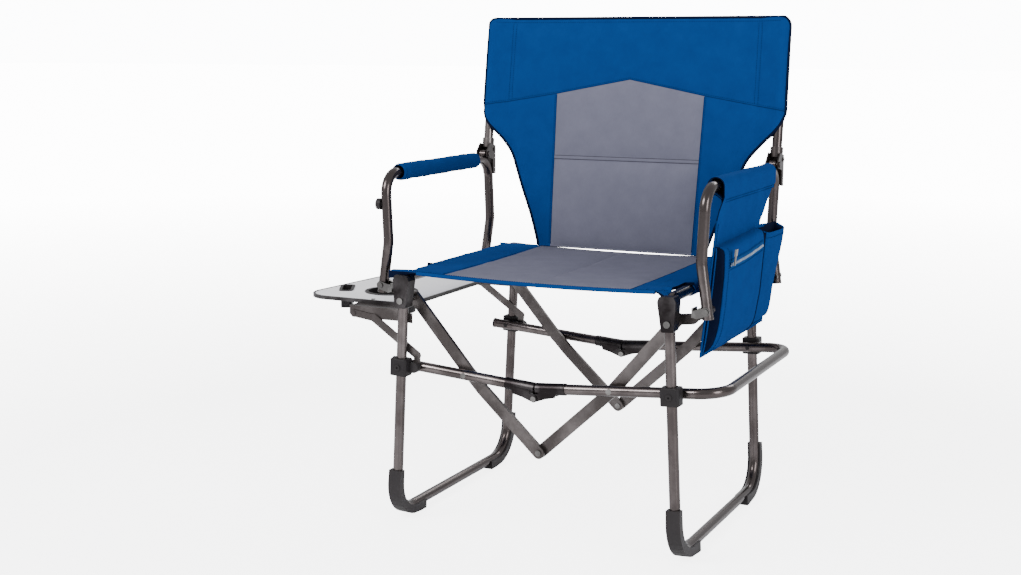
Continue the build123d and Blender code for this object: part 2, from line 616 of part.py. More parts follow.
table_low = TABLE_Z - TABLE_T
RIM = 4.0
LIP = 0.8              # half thickness of the lips, above and below the top face
SLOT_SIZE = (66.0, 22.0)
rim = extrude(Pos(0, 0, table_low) * (table_outline(0) - table_outline(RIM)), TABLE_T)
top = extrude(Pos(0, 0, table_low) * table_outline(RIM), TABLE_T - LIP)
top = top - cup_hole(CUP_R, 300, 500) - slot_hole(*SLOT_SIZE, 300, 500)
keep("table_rim", flip(rim))
keep("table_top", flip(top))
cup = both([cup_hole(CUP_R, TABLE_Z - CUP_DEPTH, TABLE_Z - LIP),
            cup_hole(CUP_R + CUP_LIP, TABLE_Z - LIP, TABLE_Z + LIP)])
cup = cup - cup_hole(CUP_R - 2.2, TABLE_Z - CUP_DEPTH + 2.2, TABLE_Z + 5)
keep("cup_holder", flip(cup))
slot = both([slot_hole(*SLOT_SIZE, TABLE_Z - SLOT_DEPTH, TABLE_Z - LIP),
             slot_hole(SLOT_SIZE[0] + 6, SLOT_SIZE[1] + 6, TABLE_Z - LIP, TABLE_Z + LIP)])
slot = slot - slot_hole(SLOT_SIZE[0] - 5, SLOT_SIZE[1] - 5, TABLE_Z - SLOT_DEPTH + 2, TABLE_Z + 5)
keep("phone_slot", flip(slot))
FLANGE_REACH = 62.0
H = (TABLE_HINGE_X, TABLE_HINGE_Z)
G = (BRACE_END_X, TABLE_HINGE_Z)


def table_bracket(sy):
    y0, y1 = sy * (LEG_Y - 13.1), sy * (LEG_Y - 15.1)
    plate = plate_xz([(H[0] - 8, H[1] - 4), (H[0] - 4, H[1] - 8), (G[0] + 4, G[1] - 8),
                      (G[0] + 10, G[1] - 2), (G[0] + 10, table_low), (H[0] + 4, table_low),
                      (H[0] - 8, H[1] + 6)], y0, y1)
    flange = block(H[0] + 6, G[0] + 10, y1, sy * (LEG_Y - FLANGE_REACH), table_low - 2, table_low)
    body = both([plate, flange]) - pin(*H, y0 + sy * 5, y1 - sy * 5, PIN_R + RUN)
    for x in (H[0] + 20, H[0] + 44, G[0]):
        body = body + pin(x, H[1] + 4, y1, y1 - sy * 1.6, 3.2)
    return body


keep("table_brackets", flip(Compound(children=[table_bracket(-1), table_bracket(1)])))


def table_lug(sy):
    y0, y1 = sy * (LEG_Y - 9.6), sy * (LEG_Y - 12.8)
    body = plate_xz([(H[0] - 22, H[1] - 9), (H[0] - 22, H[1] + 9), (H[0], H[1] + 7.5),
                     (H[0] + 7, H[1] + 3), (H[0] + 7, H[1] - 3), (H[0], H[1] - 7.5)], y0, y1)
    body = both([body, pin(*H, y1, sy * (LEG_Y - 15.1), PIN_R)]) - leg_solid
    return largest(body)


keep("table_lugs", flip(Compound(children=[table_lug(-1), table_lug(1)])))
F = table_low_right()


def table_brace(sy):
    y0, y1 = sy * (LEG_Y - 10.2), sy * (LEG_Y - 12.7)
    hook = (F[0] - 1, F[1] + 22)
    bend = (G[0] - 44, G[1] - 6)
    body = both([link(F, hook, 13, y0, y1), link(hook, bend, 15, y0, y1), link(bend, G, 13, y0, y1)])
    head = pin(*G, y0, y0 + sy * 1.2, 4.5)
    return both([body, head]) - pin(*F, y0 + sy * 5, y1 - sy * 5, PIN_R + RUN)


for end, sy in ENDS.items():
    keep(f"table_brace_{end}", flip(table_brace(sy)))
screws_at = [(26, -176), (84, -178), (26, 190), (60, 176)]
keep("table_screws", flip(Compound(children=[
    Pos(TABLE_INNER + x, y, TABLE_Z - LIP + 0.5) * Cylinder(4.0, 1.0) for x, y in screws_at])))

box = Compound(children=list(BUILT.values())).bounding_box()
print("nodes", len(BUILT))
print("outline", [round(v, 2) for v in (*box.min, *box.max)],
      "middle", round((box.min.X + box.max.X) / 2, 2), round((box.min.Y + box.max.Y) / 2, 2))
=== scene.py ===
"""Fabrics, finishes, camera and light of the folding director chair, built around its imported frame."""

import json
import math

import bmesh
import bpy
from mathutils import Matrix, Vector, noise


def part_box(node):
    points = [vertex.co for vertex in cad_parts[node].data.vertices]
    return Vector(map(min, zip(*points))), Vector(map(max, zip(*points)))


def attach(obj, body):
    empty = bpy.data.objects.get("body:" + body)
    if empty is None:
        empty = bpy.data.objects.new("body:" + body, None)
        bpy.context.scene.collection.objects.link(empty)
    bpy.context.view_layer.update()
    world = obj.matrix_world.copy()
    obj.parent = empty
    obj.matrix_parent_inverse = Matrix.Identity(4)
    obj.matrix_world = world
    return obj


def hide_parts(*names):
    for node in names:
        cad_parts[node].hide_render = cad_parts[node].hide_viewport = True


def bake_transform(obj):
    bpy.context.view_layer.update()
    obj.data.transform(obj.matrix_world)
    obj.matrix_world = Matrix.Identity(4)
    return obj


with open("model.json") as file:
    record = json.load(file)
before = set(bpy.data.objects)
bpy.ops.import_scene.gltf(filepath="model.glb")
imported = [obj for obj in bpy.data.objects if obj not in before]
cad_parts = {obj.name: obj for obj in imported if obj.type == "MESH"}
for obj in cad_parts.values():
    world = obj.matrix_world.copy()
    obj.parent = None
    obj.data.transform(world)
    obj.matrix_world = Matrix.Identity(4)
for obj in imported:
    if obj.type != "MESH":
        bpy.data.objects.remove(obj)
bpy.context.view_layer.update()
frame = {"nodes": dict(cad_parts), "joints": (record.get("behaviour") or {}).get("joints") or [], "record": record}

# ---- places read from the frame, in millimetres from the chair's middle ----
MM = 0.001
JOINTS = {j["name"]: j for j in frame["joints"]}
MID = Vector(((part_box("leg_loop_left")[0].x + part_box("leg_loop_right")[1].x) / 2,
              (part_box("leg_loop_left")[0].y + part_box("leg_loop_left")[1].y) / 2, 0))


def metres(p):
    """A point in the frame's metres from millimetres off the chair's middle."""
    return MID + Vector(p) * MM


def pivot(joint):
    """A joint's place in millimetres off the chair's middle."""
    return (Vector(JOINTS[joint]["pos_m"]) - MID) / MM


def span(node):
    """A node's two box corners in millimetres off the chair's middle."""
    lo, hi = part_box(node)
    return (lo - MID) / MM, (hi - MID) / MM


TUBE_R = (span("back_post_right")[1].x - span("back_post_right")[0].x) / 2
POST_X = pivot("right_back_fold").x
BACK_PIN = pivot("right_back_fold")
UP = Vector(JOINTS["wing_right_fold"]["axis"]).normalized()
REAR = Vector((0, UP.z, -UP.y))
POST_D = (pivot("wing_right_fold") - BACK_PIN).dot(REAR)
RAIL = pivot("seat_right_fold")


# ---- small helpers ----
def clamp(t, lo=0.0, hi=1.0):
    return max(lo, min(hi, t))


def ease(a, b, x):
    """0 at a and 1 at b, smooth at both ends."""
    t = clamp((x - a) / (b - a))
    return t * t * (3 - 2 * t)


def lerp(a, b, t):
    return a + (b - a) * t


def crowded(n):
    """n + 1 shares from 0 to 1 that crowd towards both ends, so that a seam has fine cloth beside it."""
    return [(1 - math.cos(math.pi * i / n)) / 2 for i in range(n + 1)]


def curve_value(points, x):
    """A value read off a run of (x, value) points in falling order of x."""
    if x >= points[0][0]:
        return points[0][1]
    for (x1, v1), (x2, v2) in zip(points, points[1:]):
        if x >= x2:
            return lerp(v1, v2, (x1 - x) / (x1 - x2))
    return points[-1][1]


def soft_value(points, x, reach):
    """curve_value with its corners rounded over reach."""
    return sum(curve_value(points, x + reach * k / 3) for k in range(-3, 4)) / 7


def ripple(x, y, scale, seed):
    """Smooth noise from about -1 to 1 whose bumps are about scale millimetres across."""
    return noise.noise(Vector((x / scale, y / scale, seed)))


ASKEW = Vector((0.31, 0.87, 0.39))   # a way that no cord here runs along
SHARP_EDGE = math.radians(58)


class Cloth:
    """Gathers the points, faces, finishes and cloth coordinates of one piece."""

    def __init__(self, name, finishes):
        self.name, self.finishes = name, finishes
        self.points, self.faces, self.finish, self.uv = [], [], [], []

    def add(self, p, uv):
        self.points.append(metres(p))
        self.uv.append((uv[0] * MM, uv[1] * MM))
        return len(self.points) - 1

    def face(self, ids, finish):
        self.faces.append(ids)
        self.finish.append(self.finishes.index(finish))

    def thick(self, face, back, cloth_uv, paint, rim):
        """A closed slab of cloth between two grids of points of the same size."""
        ids = [[[self.add(p, cloth_uv[i][j]) for j, p in enumerate(row)] for i, row in enumerate(grid)]
               for grid in (face, back)]
        rows, cols = len(face), len(face[0])
        for i in range(rows - 1):
            for j in range(cols - 1):
                a, b = ids
                self.face((a[i][j], a[i][j + 1], a[i + 1][j + 1], a[i + 1][j]), paint(i, j))
                self.face((b[i][j], b[i + 1][j], b[i + 1][j + 1], b[i][j + 1]), paint(i, j))
        edge = [(0, j) for j in range(cols)] + [(i, cols - 1) for i in range(1, rows)]
        edge += [(rows - 1, j) for j in range(cols - 2, -1, -1)]
        edge += [(i, 0) for i in range(rows - 2, 0, -1)]
        for (i, j), (k, m) in zip(edge, edge[1:] + edge[:1]):
            self.face((ids[0][i][j], ids[1][i][j], ids[1][k][m], ids[0][k][m]), rim)

    def cord(self, path, radius, finish, sides=8):
        """A round cord along a path, closed at both ends."""
        rings, length = [], 0.0
        for i, p in enumerate(path):
            before = path[i - 1] if i else p
            after = path[i + 1] if i < len(path) - 1 else p
            along = (after - before).normalized()
            side = along.cross(ASKEW).normalized()
            up = along.cross(side)
            length += (p - before).length
            turns = [2 * math.pi * k / sides for k in range(sides)]
            rings.append([self.add(p + (side * math.cos(a) + up * math.sin(a)) * radius,
                                   (length, a * radius)) for a in turns])
        for r, s in zip(rings, rings[1:]):
            for k in range(sides):
                self.face((r[k], r[(k + 1) % sides], s[(k + 1) % sides], s[k]), finish)
        self.face(tuple(reversed(rings[0])), finish)
        self.face(tuple(rings[-1]), finish)

    def stitches(self, path, lift, finish, pitch=4.6, run=3.2, radius=0.42):
        """A row of thread stitches along a path, each sunk at its ends; lift is the cloth's outward way."""
        total = sum((b - a).length for a, b in zip(path, path[1:]))
        count = int(total / pitch)
        for k in range(count):
            a = along_path(path, (k + 0.5) * total / count - run / 2)
            b = along_path(path, (k + 0.5) * total / count + run / 2)
            m = (a + b) / 2 + lift * radius * 0.9
            self.cord([a - lift * radius, lerp(a, m, 0.5) + lift * radius * 0.35, m,
                       lerp(b, m, 0.5) + lift * radius * 0.35, b - lift * radius], radius, finish, sides=5)

    def loft(self, rings, finish_of, cap_first, cap_last):
        """A skin over closed rings of (point, cloth coordinate) pairs."""
        ids = [[self.add(p, uv) for p, uv in ring] for ring in rings]
        n = len(ids[0])
        for i, (r, s) in enumerate(zip(ids, ids[1:])):
            for k in range(n):
                self.face((r[k], r[(k + 1) % n], s[(k + 1) % n], s[k]), finish_of(i, k))
        for wanted, ring, turn in ((cap_first, ids[0], -1), (cap_last, ids[-1], 1)):
            if wanted:
                self.face(tuple(ring[::turn]), wanted)

    def build(self, slot_name):
        mesh = bpy.data.meshes.new(self.name)
        mesh.from_pydata(self.points, [], self.faces)
        layer = mesh.uv_layers.new(name="cloth")
        for loop in mesh.loops:
            layer.data[loop.index].uv = self.uv[loop.vertex_index]
        for finish in self.finishes:
            mesh.materials.append(MATERIALS[finish])
        for polygon, index in zip(mesh.polygons, self.finish):
            polygon.material_index = index
            polygon.use_smooth = True
        mesh.validate()
        mesh.update()
        piece = bpy.data.objects.new(self.name, mesh)
        bpy.context.scene.collection.objects.link(piece)
        outward(mesh)
        mesh.set_sharp_from_angle(angle=SHARP_EDGE)
        return piece


def outward(mesh):
    """Turns every face of a closed mesh outwards."""
    bm = bmesh.new()
    bm.from_mesh(mesh)
    bmesh.ops.recalc_face_normals(bm, faces=bm.faces)
    bm.to_mesh(mesh)
    bm.free()


def along_path(path, s):
    """The point at length s along a path."""
    for a, b in zip(path, path[1:]):
        d = (b - a).length
        if s <= d and d > 0:
            return lerp(a, b, s / d)
        s -= d
    return path[-1].copy()


# ---- materials ----
def new_material(name):
    material = bpy.data.materials.new(name)
    material.use_nodes = True
    nodes = material.node_tree.nodes
    return material, nodes, material.node_tree.links, nodes["Principled BSDF"]


def mixed(nodes, links, share, a, b):
    """A colour between a and b, either of which may be a socket."""
    mix = nodes.new("ShaderNodeMix")
    mix.data_type = "RGBA"
    links.new(share, mix.inputs[0])
    for socket, value in ((mix.inputs[6], a), (mix.inputs[7], b)):
        if isinstance(value, bpy.types.NodeSocket):
            links.new(value, socket)
        else:
            socket.default_value = (*value, 1)
    return mix.outputs[2]


def ramp(nodes, links, source, low, high):
    """0 where source is low and 1 where it is high."""
    made = nodes.new("ShaderNodeMapRange")
    links.new(source, made.inputs[0])
    made.inputs[1].default_value, made.inputs[2].default_value = low, high
    return made.outputs[0]


def uneven(nodes, links, source, low, high, shader):
    """Roughness that wanders from low to high with source."""
    made = nodes.new("ShaderNodeMapRange")
    links.new(source, made.inputs[0])
    made.inputs[3].default_value, made.inputs[4].default_value = low, high
    links.new(made.outputs[0], shader.inputs["Roughness"])


def maths(nodes, links, operation, a, b=0.0):
    made = nodes.new("ShaderNodeMath")
    made.operation = operation
    for socket, value in zip(made.inputs, (a, b)):
        if isinstance(value, bpy.types.NodeSocket):
            links.new(value, socket)
        else:
            socket.default_value = value
    return made.outputs[0]


def noise_of(nodes, links, vector, scale, detail=4.0, roughness=0.55):
    made = nodes.new("ShaderNodeTexNoise")
    made.inputs["Scale"].default_value = scale
    made.inputs["Detail"].default_value = detail
    made.inputs["Roughness"].default_value = roughness
    links.new(vector, made.inputs["Vector"])
    return made.outputs["Fac"]


def bump(nodes, links, height, strength, distance, shader, under=None):
    made = nodes.new("ShaderNodeBump")
    made.inputs["Strength"].default_value = strength
    made.inputs["Distance"].default_value = distance
    links.new(height, made.inputs["Height"])
    if under is not None:
        links.new(under, made.inputs["Normal"])
    if shader is not None:
        links.new(made.outputs[0], shader.inputs["Normal"])
    return made.outputs[0]


def woven(name, dark, light, thread=0.0011, roughness=0.86, sheen=0.015, mottle=26.0):
    """Oxford cloth: crossing threads, uneven dye and a little wear."""
    material, nodes, links, shader = new_material(name)
    uv = nodes.new("ShaderNodeUVMap")
    uv.uv_map = "cloth"
    split = nodes.new("ShaderNodeSeparateXYZ")
    links.new(uv.outputs[0], split.inputs[0])
    turns = 2 * math.pi / (2 * thread)
    wobble = noise_of(nodes, links, uv.outputs[0], 240.0, 2.0)
    waves = []
    for axis in (0, 1):
        angle = maths(nodes, links, "MULTIPLY", split.outputs[axis], turns)
        angle = maths(nodes, links, "ADD", angle, maths(nodes, links, "MULTIPLY", wobble, 1.4))
        waves.append(maths(nodes, links, "SINE", angle))
    weave = maths(nodes, links, "MULTIPLY", waves[0], waves[1])
    weave = maths(nodes, links, "ADD", maths(nodes, links, "MULTIPLY", weave, 0.5), 0.5)
    stretch = nodes.new("ShaderNodeMapping")
    stretch.inputs["Scale"].default_value = (1.0, 0.12, 1.0)
    links.new(uv.outputs[0], stretch.inputs[0])
    slub = noise_of(nodes, links, stretch.outputs[0], 900.0, 2.0)
    cloud = noise_of(nodes, links, uv.outputs[0], mottle, 5.0, 0.6)
    patches = maths(nodes, links, "MULTIPLY", ramp(nodes, links, cloud, 0.2, 0.8), 0.45)
    share = maths(nodes, links, "ADD", patches, maths(nodes, links, "MULTIPLY", slub, 0.3))
    share = maths(nodes, links, "ADD", share, maths(nodes, links, "MULTIPLY", weave, 0.2))
    links.new(mixed(nodes, links, share, dark, light), shader.inputs["Base Color"])
    uneven(nodes, links, slub, roughness - 0.08, roughness + 0.08, shader)
    shader.inputs["Sheen Weight"].default_value = sheen
    shader.inputs["Sheen Roughness"].default_value = 0.45
    shader.inputs["Specular IOR Level"].default_value = 0.0
    first = bump(nodes, links, weave, 0.35, 0.0002, None)
    bump(nodes, links, cloud, 0.3, 0.0012, shader, under=first)
    return material


def painted_metal(name, dark, light, roughness, metallic, speck=1400.0, coat=0.25):
    """Painted or plated tube: fine flake, drawn streaks, faint scuffs and rubbed edges."""
    material, nodes, links, shader = new_material(name)
    place = nodes.new("ShaderNodeTexCoord").outputs["Object"]
    flake = noise_of(nodes, links, place, speck, 1.0)
    cloud = noise_of(nodes, links, place, 14.0, 5.0)
    streak = nodes.new("ShaderNodeMapping")
    streak.inputs["Scale"].default_value = (1.0, 1.0, 0.06)
    links.new(place, streak.inputs[0])
    drawn = noise_of(nodes, links, streak.outputs[0], 220.0, 3.0)
    share = maths(nodes, links, "ADD", maths(nodes, links, "MULTIPLY", cloud, 0.6),
                  maths(nodes, links, "MULTIPLY", flake, 0.4))
    base = mixed(nodes, links, share, dark, light)
    pointed = nodes.new("ShaderNodeNewGeometry").outputs["Pointiness"]
    edge = maths(nodes, links, "MULTIPLY", ramp(nodes, links, pointed, 0.53, 0.62),
                 ramp(nodes, links, cloud, 0.42, 0.62))
    worn = tuple(min(1.0, c * 1.9 + 0.06) for c in light)
    links.new(mixed(nodes, links, maths(nodes, links, "MULTIPLY", edge, 0.6), base, worn),
              shader.inputs["Base Color"])
    uneven(nodes, links, drawn, roughness - 0.07, roughness + 0.09, shader)
    shader.inputs["Metallic"].default_value = metallic
    shader.inputs["Coat Weight"].default_value = coat
    shader.inputs["Coat Roughness"].default_value = 0.18
    first = bump(nodes, links, flake, 0.08, 0.00006, None)
    bump(nodes, links, drawn, 0.08, 0.0001, shader, under=first)
    return material


def moulded(name, dark, light, roughness=0.48, grain=900.0, depth=0.25):
    """Moulded plastic: a fine spark-eroded grain and dusty, paler edges."""
    material, nodes, links, shader = new_material(name)
    place = nodes.new("ShaderNodeTexCoord").outputs["Object"]
    fine = noise_of(nodes, links, place, grain, 3.0)
    cloud = noise_of(nodes, links, place, 20.0, 4.0)
    pointed = nodes.new("ShaderNodeNewGeometry").outputs["Pointiness"]
    edge = ramp(nodes, links, pointed, 0.52, 0.64)
    share = maths(nodes, links, "ADD", maths(nodes, links, "MULTIPLY", cloud, 0.7),
                  maths(nodes, links, "MULTIPLY", edge, 0.5))
    links.new(mixed(nodes, links, share, dark, light), shader.inputs["Base Color"])
    uneven(nodes, links, cloud, roughness - 0.08, roughness + 0.1, shader)
    shader.inputs["Specular IOR Level"].default_value = 0.16
    bump(nodes, links, fine, depth, 0.00012, shader)
    return material


MATERIALS = {
    "tube": painted_metal("gunmetal tube", (0.050, 0.041, 0.040), (0.084, 0.070, 0.068),
                          0.22, 0.96, coat=0.1),
    "bar": painted_metal("gunmetal flat bar", (0.036, 0.029, 0.028), (0.064, 0.054, 0.052), 0.34, 0.85),
    "black_plastic": moulded("black moulded plastic", (0.008, 0.007, 0.008), (0.026, 0.023, 0.024)),
    "bright_steel": painted_metal("zinc plated steel", (0.075, 0.072, 0.070), (0.15, 0.145, 0.14),
                                  0.22, 1.0, coat=0.0),
    "dark_steel": painted_metal("blackened steel", (0.012, 0.010, 0.0105), (0.027, 0.023, 0.024),
                                0.36, 1.0, coat=0.0),
    "table_board": moulded("speckled table board", (0.70, 0.69, 0.71), (0.84, 0.83, 0.85),
                           0.5, 1500.0, 0.2),
    "table_edge": painted_metal("table rim", (0.018, 0.016, 0.017), (0.042, 0.038, 0.039),
                                0.36, 0.95, coat=0.0),
    "blue_cloth": woven("blue oxford cloth", (0.0008, 0.024, 0.115), (0.002, 0.044, 0.18)),
    "grey_cloth": woven("grey oxford cloth", (0.095, 0.096, 0.132), (0.145, 0.146, 0.192)),
    "navy_cloth": woven("navy binding", (0.002, 0.0035, 0.013), (0.006, 0.010, 0.030), thread=0.0008),
    # Both thread colours are darker than the thread itself: partly thread colour, partly painted shade for the
    # seam and channel hollows.
    "blue_thread": woven("blue thread and painted seam shade", (0.0015, 0.012, 0.055), (0.004, 0.026, 0.1), thread=0.0004),
    "grey_thread": woven("grey thread and painted channel shade", (0.03, 0.03, 0.04), (0.06, 0.06, 0.075), thread=0.0004),
    "zip_tape": woven("zip tape", (0.003, 0.03, 0.11), (0.01, 0.06, 0.19), thread=0.0005),
    "zip_teeth": moulded("zip teeth", (0.16, 0.20, 0.27), (0.30, 0.35, 0.42), 0.4),
}


def finish_frame():
    """Gives every CAD node the material of its slot; the back hinges are painted like the bars."""
    slots = {part["node"]: part["material_slot"] for part in frame["record"]["subparts"]}
    slots.update({name: "bar" for name in slots if name.startswith("back_hinge")})
    for name, obj in frame["nodes"].items():
        obj.data.materials.clear()
        obj.data.materials.append(MATERIALS[slots[name]])


# ---- back: a padded sling between two posts ----
BACK_TOP_H = (span("back_wing_right")[1].z - BACK_PIN.z) / UP.z
BACK_FOOT_H = (span("back_wing_right")[0].z - BACK_PIN.z) / UP.z
FOLD_X = 35.0
APEX_H, SHOULDER, SEAM_END_H = 158.0, (156.0, 128.0), 101.0   # the peaked seam: top, bend, end
FOOT_HALF = 150.0      # half width of the grey panel at its foot
WIDE, TOP_HALF = 318.0, 316.0   # half width of the back at its shoulders and at its top
OUTLINE = [(SEAM_END_H, WIDE), (92, 317), (66, 306), (40, 276), (8, 248), (-60, 222), (-120, 196),
           (-180, 176)]   # (height, half width) down the side of the back
CORNER_R = 17.0
SLEEVE_R = TUBE_R + 1.9
SLEEVE_SHARE = 0.64    # how far out from the grey panel the sleeve's stitching runs
TOP_HEM = 8            # the hem's stitching below the top edge
CHANNEL = 3.4          # half height of the stitched channel across the grey panel
WELT = 2.9             # radius of the piping round the back


def on_back(x, h, d):
    """A point of the back in chair millimetres: h up the posts from the hinge pin, d behind the pin."""
    return Vector((x, BACK_PIN.y, BACK_PIN.z)) + UP * h + REAR * d


def seam_h(x):
    """Height of the peaked seam that crosses the back under its top band."""
    x = abs(x)
    if x < SHOULDER[0]:
        return lerp(APEX_H, SHOULDER[1], x / SHOULDER[0])
    return lerp(SHOULDER[1], SEAM_END_H, (x - SHOULDER[0]) / (WIDE - SHOULDER[0]))


def edge_x(h):
    """Half width of the back."""
    top = BACK_TOP_H - CORNER_R
    if h > top:
        return TOP_HALF - CORNER_R + math.sqrt(max(0.0, CORNER_R ** 2 - (h - top) ** 2))
    if h > SEAM_END_H + 12:
        return lerp(WIDE, TOP_HALF, (h - SEAM_END_H) / (top - SEAM_END_H))
    return soft_value(OUTLINE, h, 12)


def grey_x(h):
    """Half width of the grey panel."""
    return lerp(FOOT_HALF, SHOULDER[0], clamp((h - BACK_FOOT_H) / (SHOULDER[1] - BACK_FOOT_H)))


def sleeve_x(h):
    """Where the stitching that closes the sleeve round the post runs."""
    return lerp(grey_x(h), edge_x(h), SLEEVE_SHARE)


def pad(distances, depth, reach):
    """Depth of stuffing that falls to nothing at each seam, given the distances to the seams."""
    value = depth
    for d in distances:
        value *= 1 - math.exp(-max(d, 0) / reach)
    return value


def cushion(inside, flat, fill, reach, crease, crease_reach):
    """Half thickness between seams: flat cloth, the fill, and creases that fade at the seams."""
    return flat + pad(inside, fill, reach) + crease * pad(inside, 1, crease_reach)


def back_half_depth(x, h):
    """Half thickness of the back at a point: padding between seams, and the sleeve round the post."""
    x = abs(x)
    seam, foot = abs(h - seam_h(x)), h - BACK_FOOT_H
    if h > seam_h(x) + 0.01:
        inside = [seam, BACK_TOP_H - (TOP_HEM + 1) - h, abs(x - sleeve_x(h)) * 1.6]
        depth = cushion(inside, 1.3, 2.6, 12, 0.8 * ripple(x, h, 46, 3.1), 14)
    elif x < grey_x(h):
        inside = [seam, abs(h - CHANNEL), abs(h + CHANNEL), foot, grey_x(h) - x]
        depth = cushion(inside, 1.2, 6.4, 15, 1.1 * ripple(x, h, 60, 7.7), 18)
        depth = depth if abs(h) > CHANNEL else 1.9
    else:
        inside = [seam, x - grey_x(h), foot, edge_x(h) - 6 - x]
        depth = cushion(inside, 1.3, 2.4, 12, 0.9 * ripple(x, h, 40, 1.9), 14)
    gap = abs(x - POST_X)
    round_post = math.sqrt(SLEEVE_R ** 2 - gap ** 2) if gap < SLEEVE_R else 0
    if x < POST_X:
        slope = max(0.0, (1 - (gap - SLEEVE_R * 0.45) / (POST_X - sleeve_x(h)))) * SLEEVE_R * 0.98
        round_post = max(round_post, min(slope, SLEEVE_R))
    cap = BACK_TOP_H - 12
    closing = math.sqrt(max(0.0, 1 - ((h - cap) / 12.5) ** 2)) if h > cap else 1
    return max(depth, round_post * closing * ease(20, 62, h))


CHANNEL_ROW = 30       # rows from the foot up to the channel


def back_rows():
    """Bands of rows: foot to channel, channel, channel to seam, seam to top."""
    rows = [("low", t) for t in crowded(CHANNEL_ROW)]
    rows += [("mid", 0.33), ("mid", 0.66)]
    rows += [("high", t) for t in crowded(26)]
    rows += [("top", t) for t in crowded(28)[1:]]
    return rows


def back_h(row, x):
    band, t = row
    if band == "low":
        return lerp(BACK_FOOT_H, -CHANNEL, t)
    if band == "mid":
        return lerp(-CHANNEL, CHANNEL, t)
    if band == "high":
        return lerp(CHANNEL, seam_h(x), t)
    return lerp(seam_h(x), BACK_TOP_H, t)


def back_column(row, col):
    """(x, h) of a grid point; a column is (band, share) counted outwards from the fold line.

    A negative share mirrors a column of the grey band to the left."""
    band, share = col
    t = abs(share)
    x, h = 200.0, 0.0
    for _ in range(12):
        h = back_h(row, x)
        inner, grey, sleeve, edge = FOLD_X, grey_x(h), sleeve_x(h), edge_x(h)
        x = {"core": lerp(-FOLD_X, inner, t), "grey": lerp(inner, grey, t),
             "wing": lerp(grey, sleeve, t), "hem": lerp(sleeve, edge, t)}[band]
    return (-x if band == "grey" and share < 0 else x), h


def back_piece(name, columns, side, edge_bands):
    """A panel of the back; side is -1 on the left."""
    made = Cloth(name, ["blue_cloth", "grey_cloth", "navy_cloth", "blue_thread", "grey_thread"])
    rows = back_rows()
    plan = [[back_column(row, col) for col in columns] for row in rows]
    depth = [[back_half_depth(x, h) for x, h in line] for line in plan]
    front = [[on_back(side * x, h, POST_D - d) for (x, h), d in zip(line, ds)]
             for line, ds in zip(plan, depth)]
    rear = [[on_back(side * x, h, POST_D + (d if abs(abs(x) - POST_X) < 40 else min(d, 2.6)))
             for (x, h), d in zip(line, ds)] for line, ds in zip(plan, depth)]
    grey_rows = sum(1 for band, _ in rows if band != "top") - 1

    def paint(i, j):
        grey = columns[j][0] in ("core", "grey") and columns[j + 1][0] in ("core", "grey") and i < grey_rows
        if columns[j][1] >= 1 and columns[j + 1][0] == "wing":
            grey = False
        return "grey_cloth" if grey else "blue_cloth"

    made.thick(front, rear, [[(side * x, h) for x, h in line] for line in plan], paint, "navy_cloth")
    out = -REAR
    last = len(columns) - 1
    if edge_bands:
        rim = [on_back(side * plan[i][last][0], plan[i][last][1], POST_D - depth[i][last] * 0.85)
               for i in range(len(rows))]
        top = [on_back(side * x, BACK_TOP_H, POST_D - 0.4) for x, _ in reversed(plan[-1][:-1])]
        made.cord(thin_path(rim + top, 2.5), WELT, "navy_cloth", sides=10)
    else:
        top = [on_back(side * x, BACK_TOP_H, POST_D - 0.4) for x, _ in plan[-1]]
        made.cord(top, WELT, "navy_cloth", sides=10)
    for finish, bands in (("grey_cloth", ("core", "grey")), ("blue_cloth", ("wing", "hem"))):
        foot = [on_back(side * x, BACK_FOOT_H, POST_D)
                for (x, _), (kind, _) in zip(plan[0], columns) if kind in bands]
        if len(foot) > 2:
            made.cord(foot, 2.2, finish, sides=8)

    seam = [on_back(side * x, h + 3.2, POST_D - back_half_depth(x, h + 3.2)) for x, h in plan[grey_rows]]
    made.stitches(seam, out, "blue_thread")
    # A thin dark cord along the seam's hollow: painted shade in the seam.
    painted_seam_shade = [on_back(side * x, h, POST_D - back_half_depth(x, h)) for x, h in plan[grey_rows]]
    made.cord(thin_path(painted_seam_shade, 2), 0.8, "blue_thread", sides=6)
    hem_h = BACK_TOP_H - TOP_HEM
    made.stitches([on_back(side * x, hem_h, POST_D - back_half_depth(x, hem_h)) for x, _ in plan[-1]],
                  out, "blue_thread")
    level = [x for (x, _), (kind, _) in zip(plan[CHANNEL_ROW], columns) if kind in ("core", "grey")]
    for h in (-CHANNEL, CHANNEL):
        if level:
            made.stitches([on_back(side * x, h, POST_D - 2.0) for x in level], out, "grey_thread")
            # The thin dark cord on each channel line is painted shade in the channel's hollow.
            made.cord([on_back(side * x, h, POST_D - 1.5) for x in level], 0.7, "grey_thread", sides=6)
    return made


def thin_path(path, least):
    kept = [path[0]]
    for p in path[1:]:
        if (p - kept[-1]).length > least:
            kept.append(p)
    return kept


def side_seams(made, side):
    """Stitch rows beside the grey panel and along the post sleeve, and a thin dark cord of painted shade in the
    seam beside the grey panel.
    """
    out = -REAR
    heights = [lerp(BACK_FOOT_H + 4, SHOULDER[1] - 2, t / 60) for t in range(61)]
    made.stitches([on_back(side * (grey_x(h) + 3.2), h, POST_D - back_half_depth(grey_x(h) + 3.2, h))
                   for h in heights], out, "blue_thread")
    # A thin dark cord along the seam's hollow: painted shade in the seam.
    painted_seam_shade = [on_back(side * grey_x(h), h, POST_D - back_half_depth(grey_x(h), h)) for h in heights]
    made.cord(thin_path(painted_seam_shade, 2), 0.8, "blue_thread", sides=6)
    for dx in (-3.5, 3.5):
        heights = [lerp(seam_h(258) + 3, BACK_TOP_H - 10, t / 50) for t in range(51)]
        made.stitches([on_back(side * (sleeve_x(h) + dx), h, POST_D - back_half_depth(sleeve_x(h) + dx, h))
                       for h in heights], out, "blue_thread")


def band(name, n, first=True):
    shares = crowded(n)
    return [(name, t) for t in (shares if first else shares[1:])]


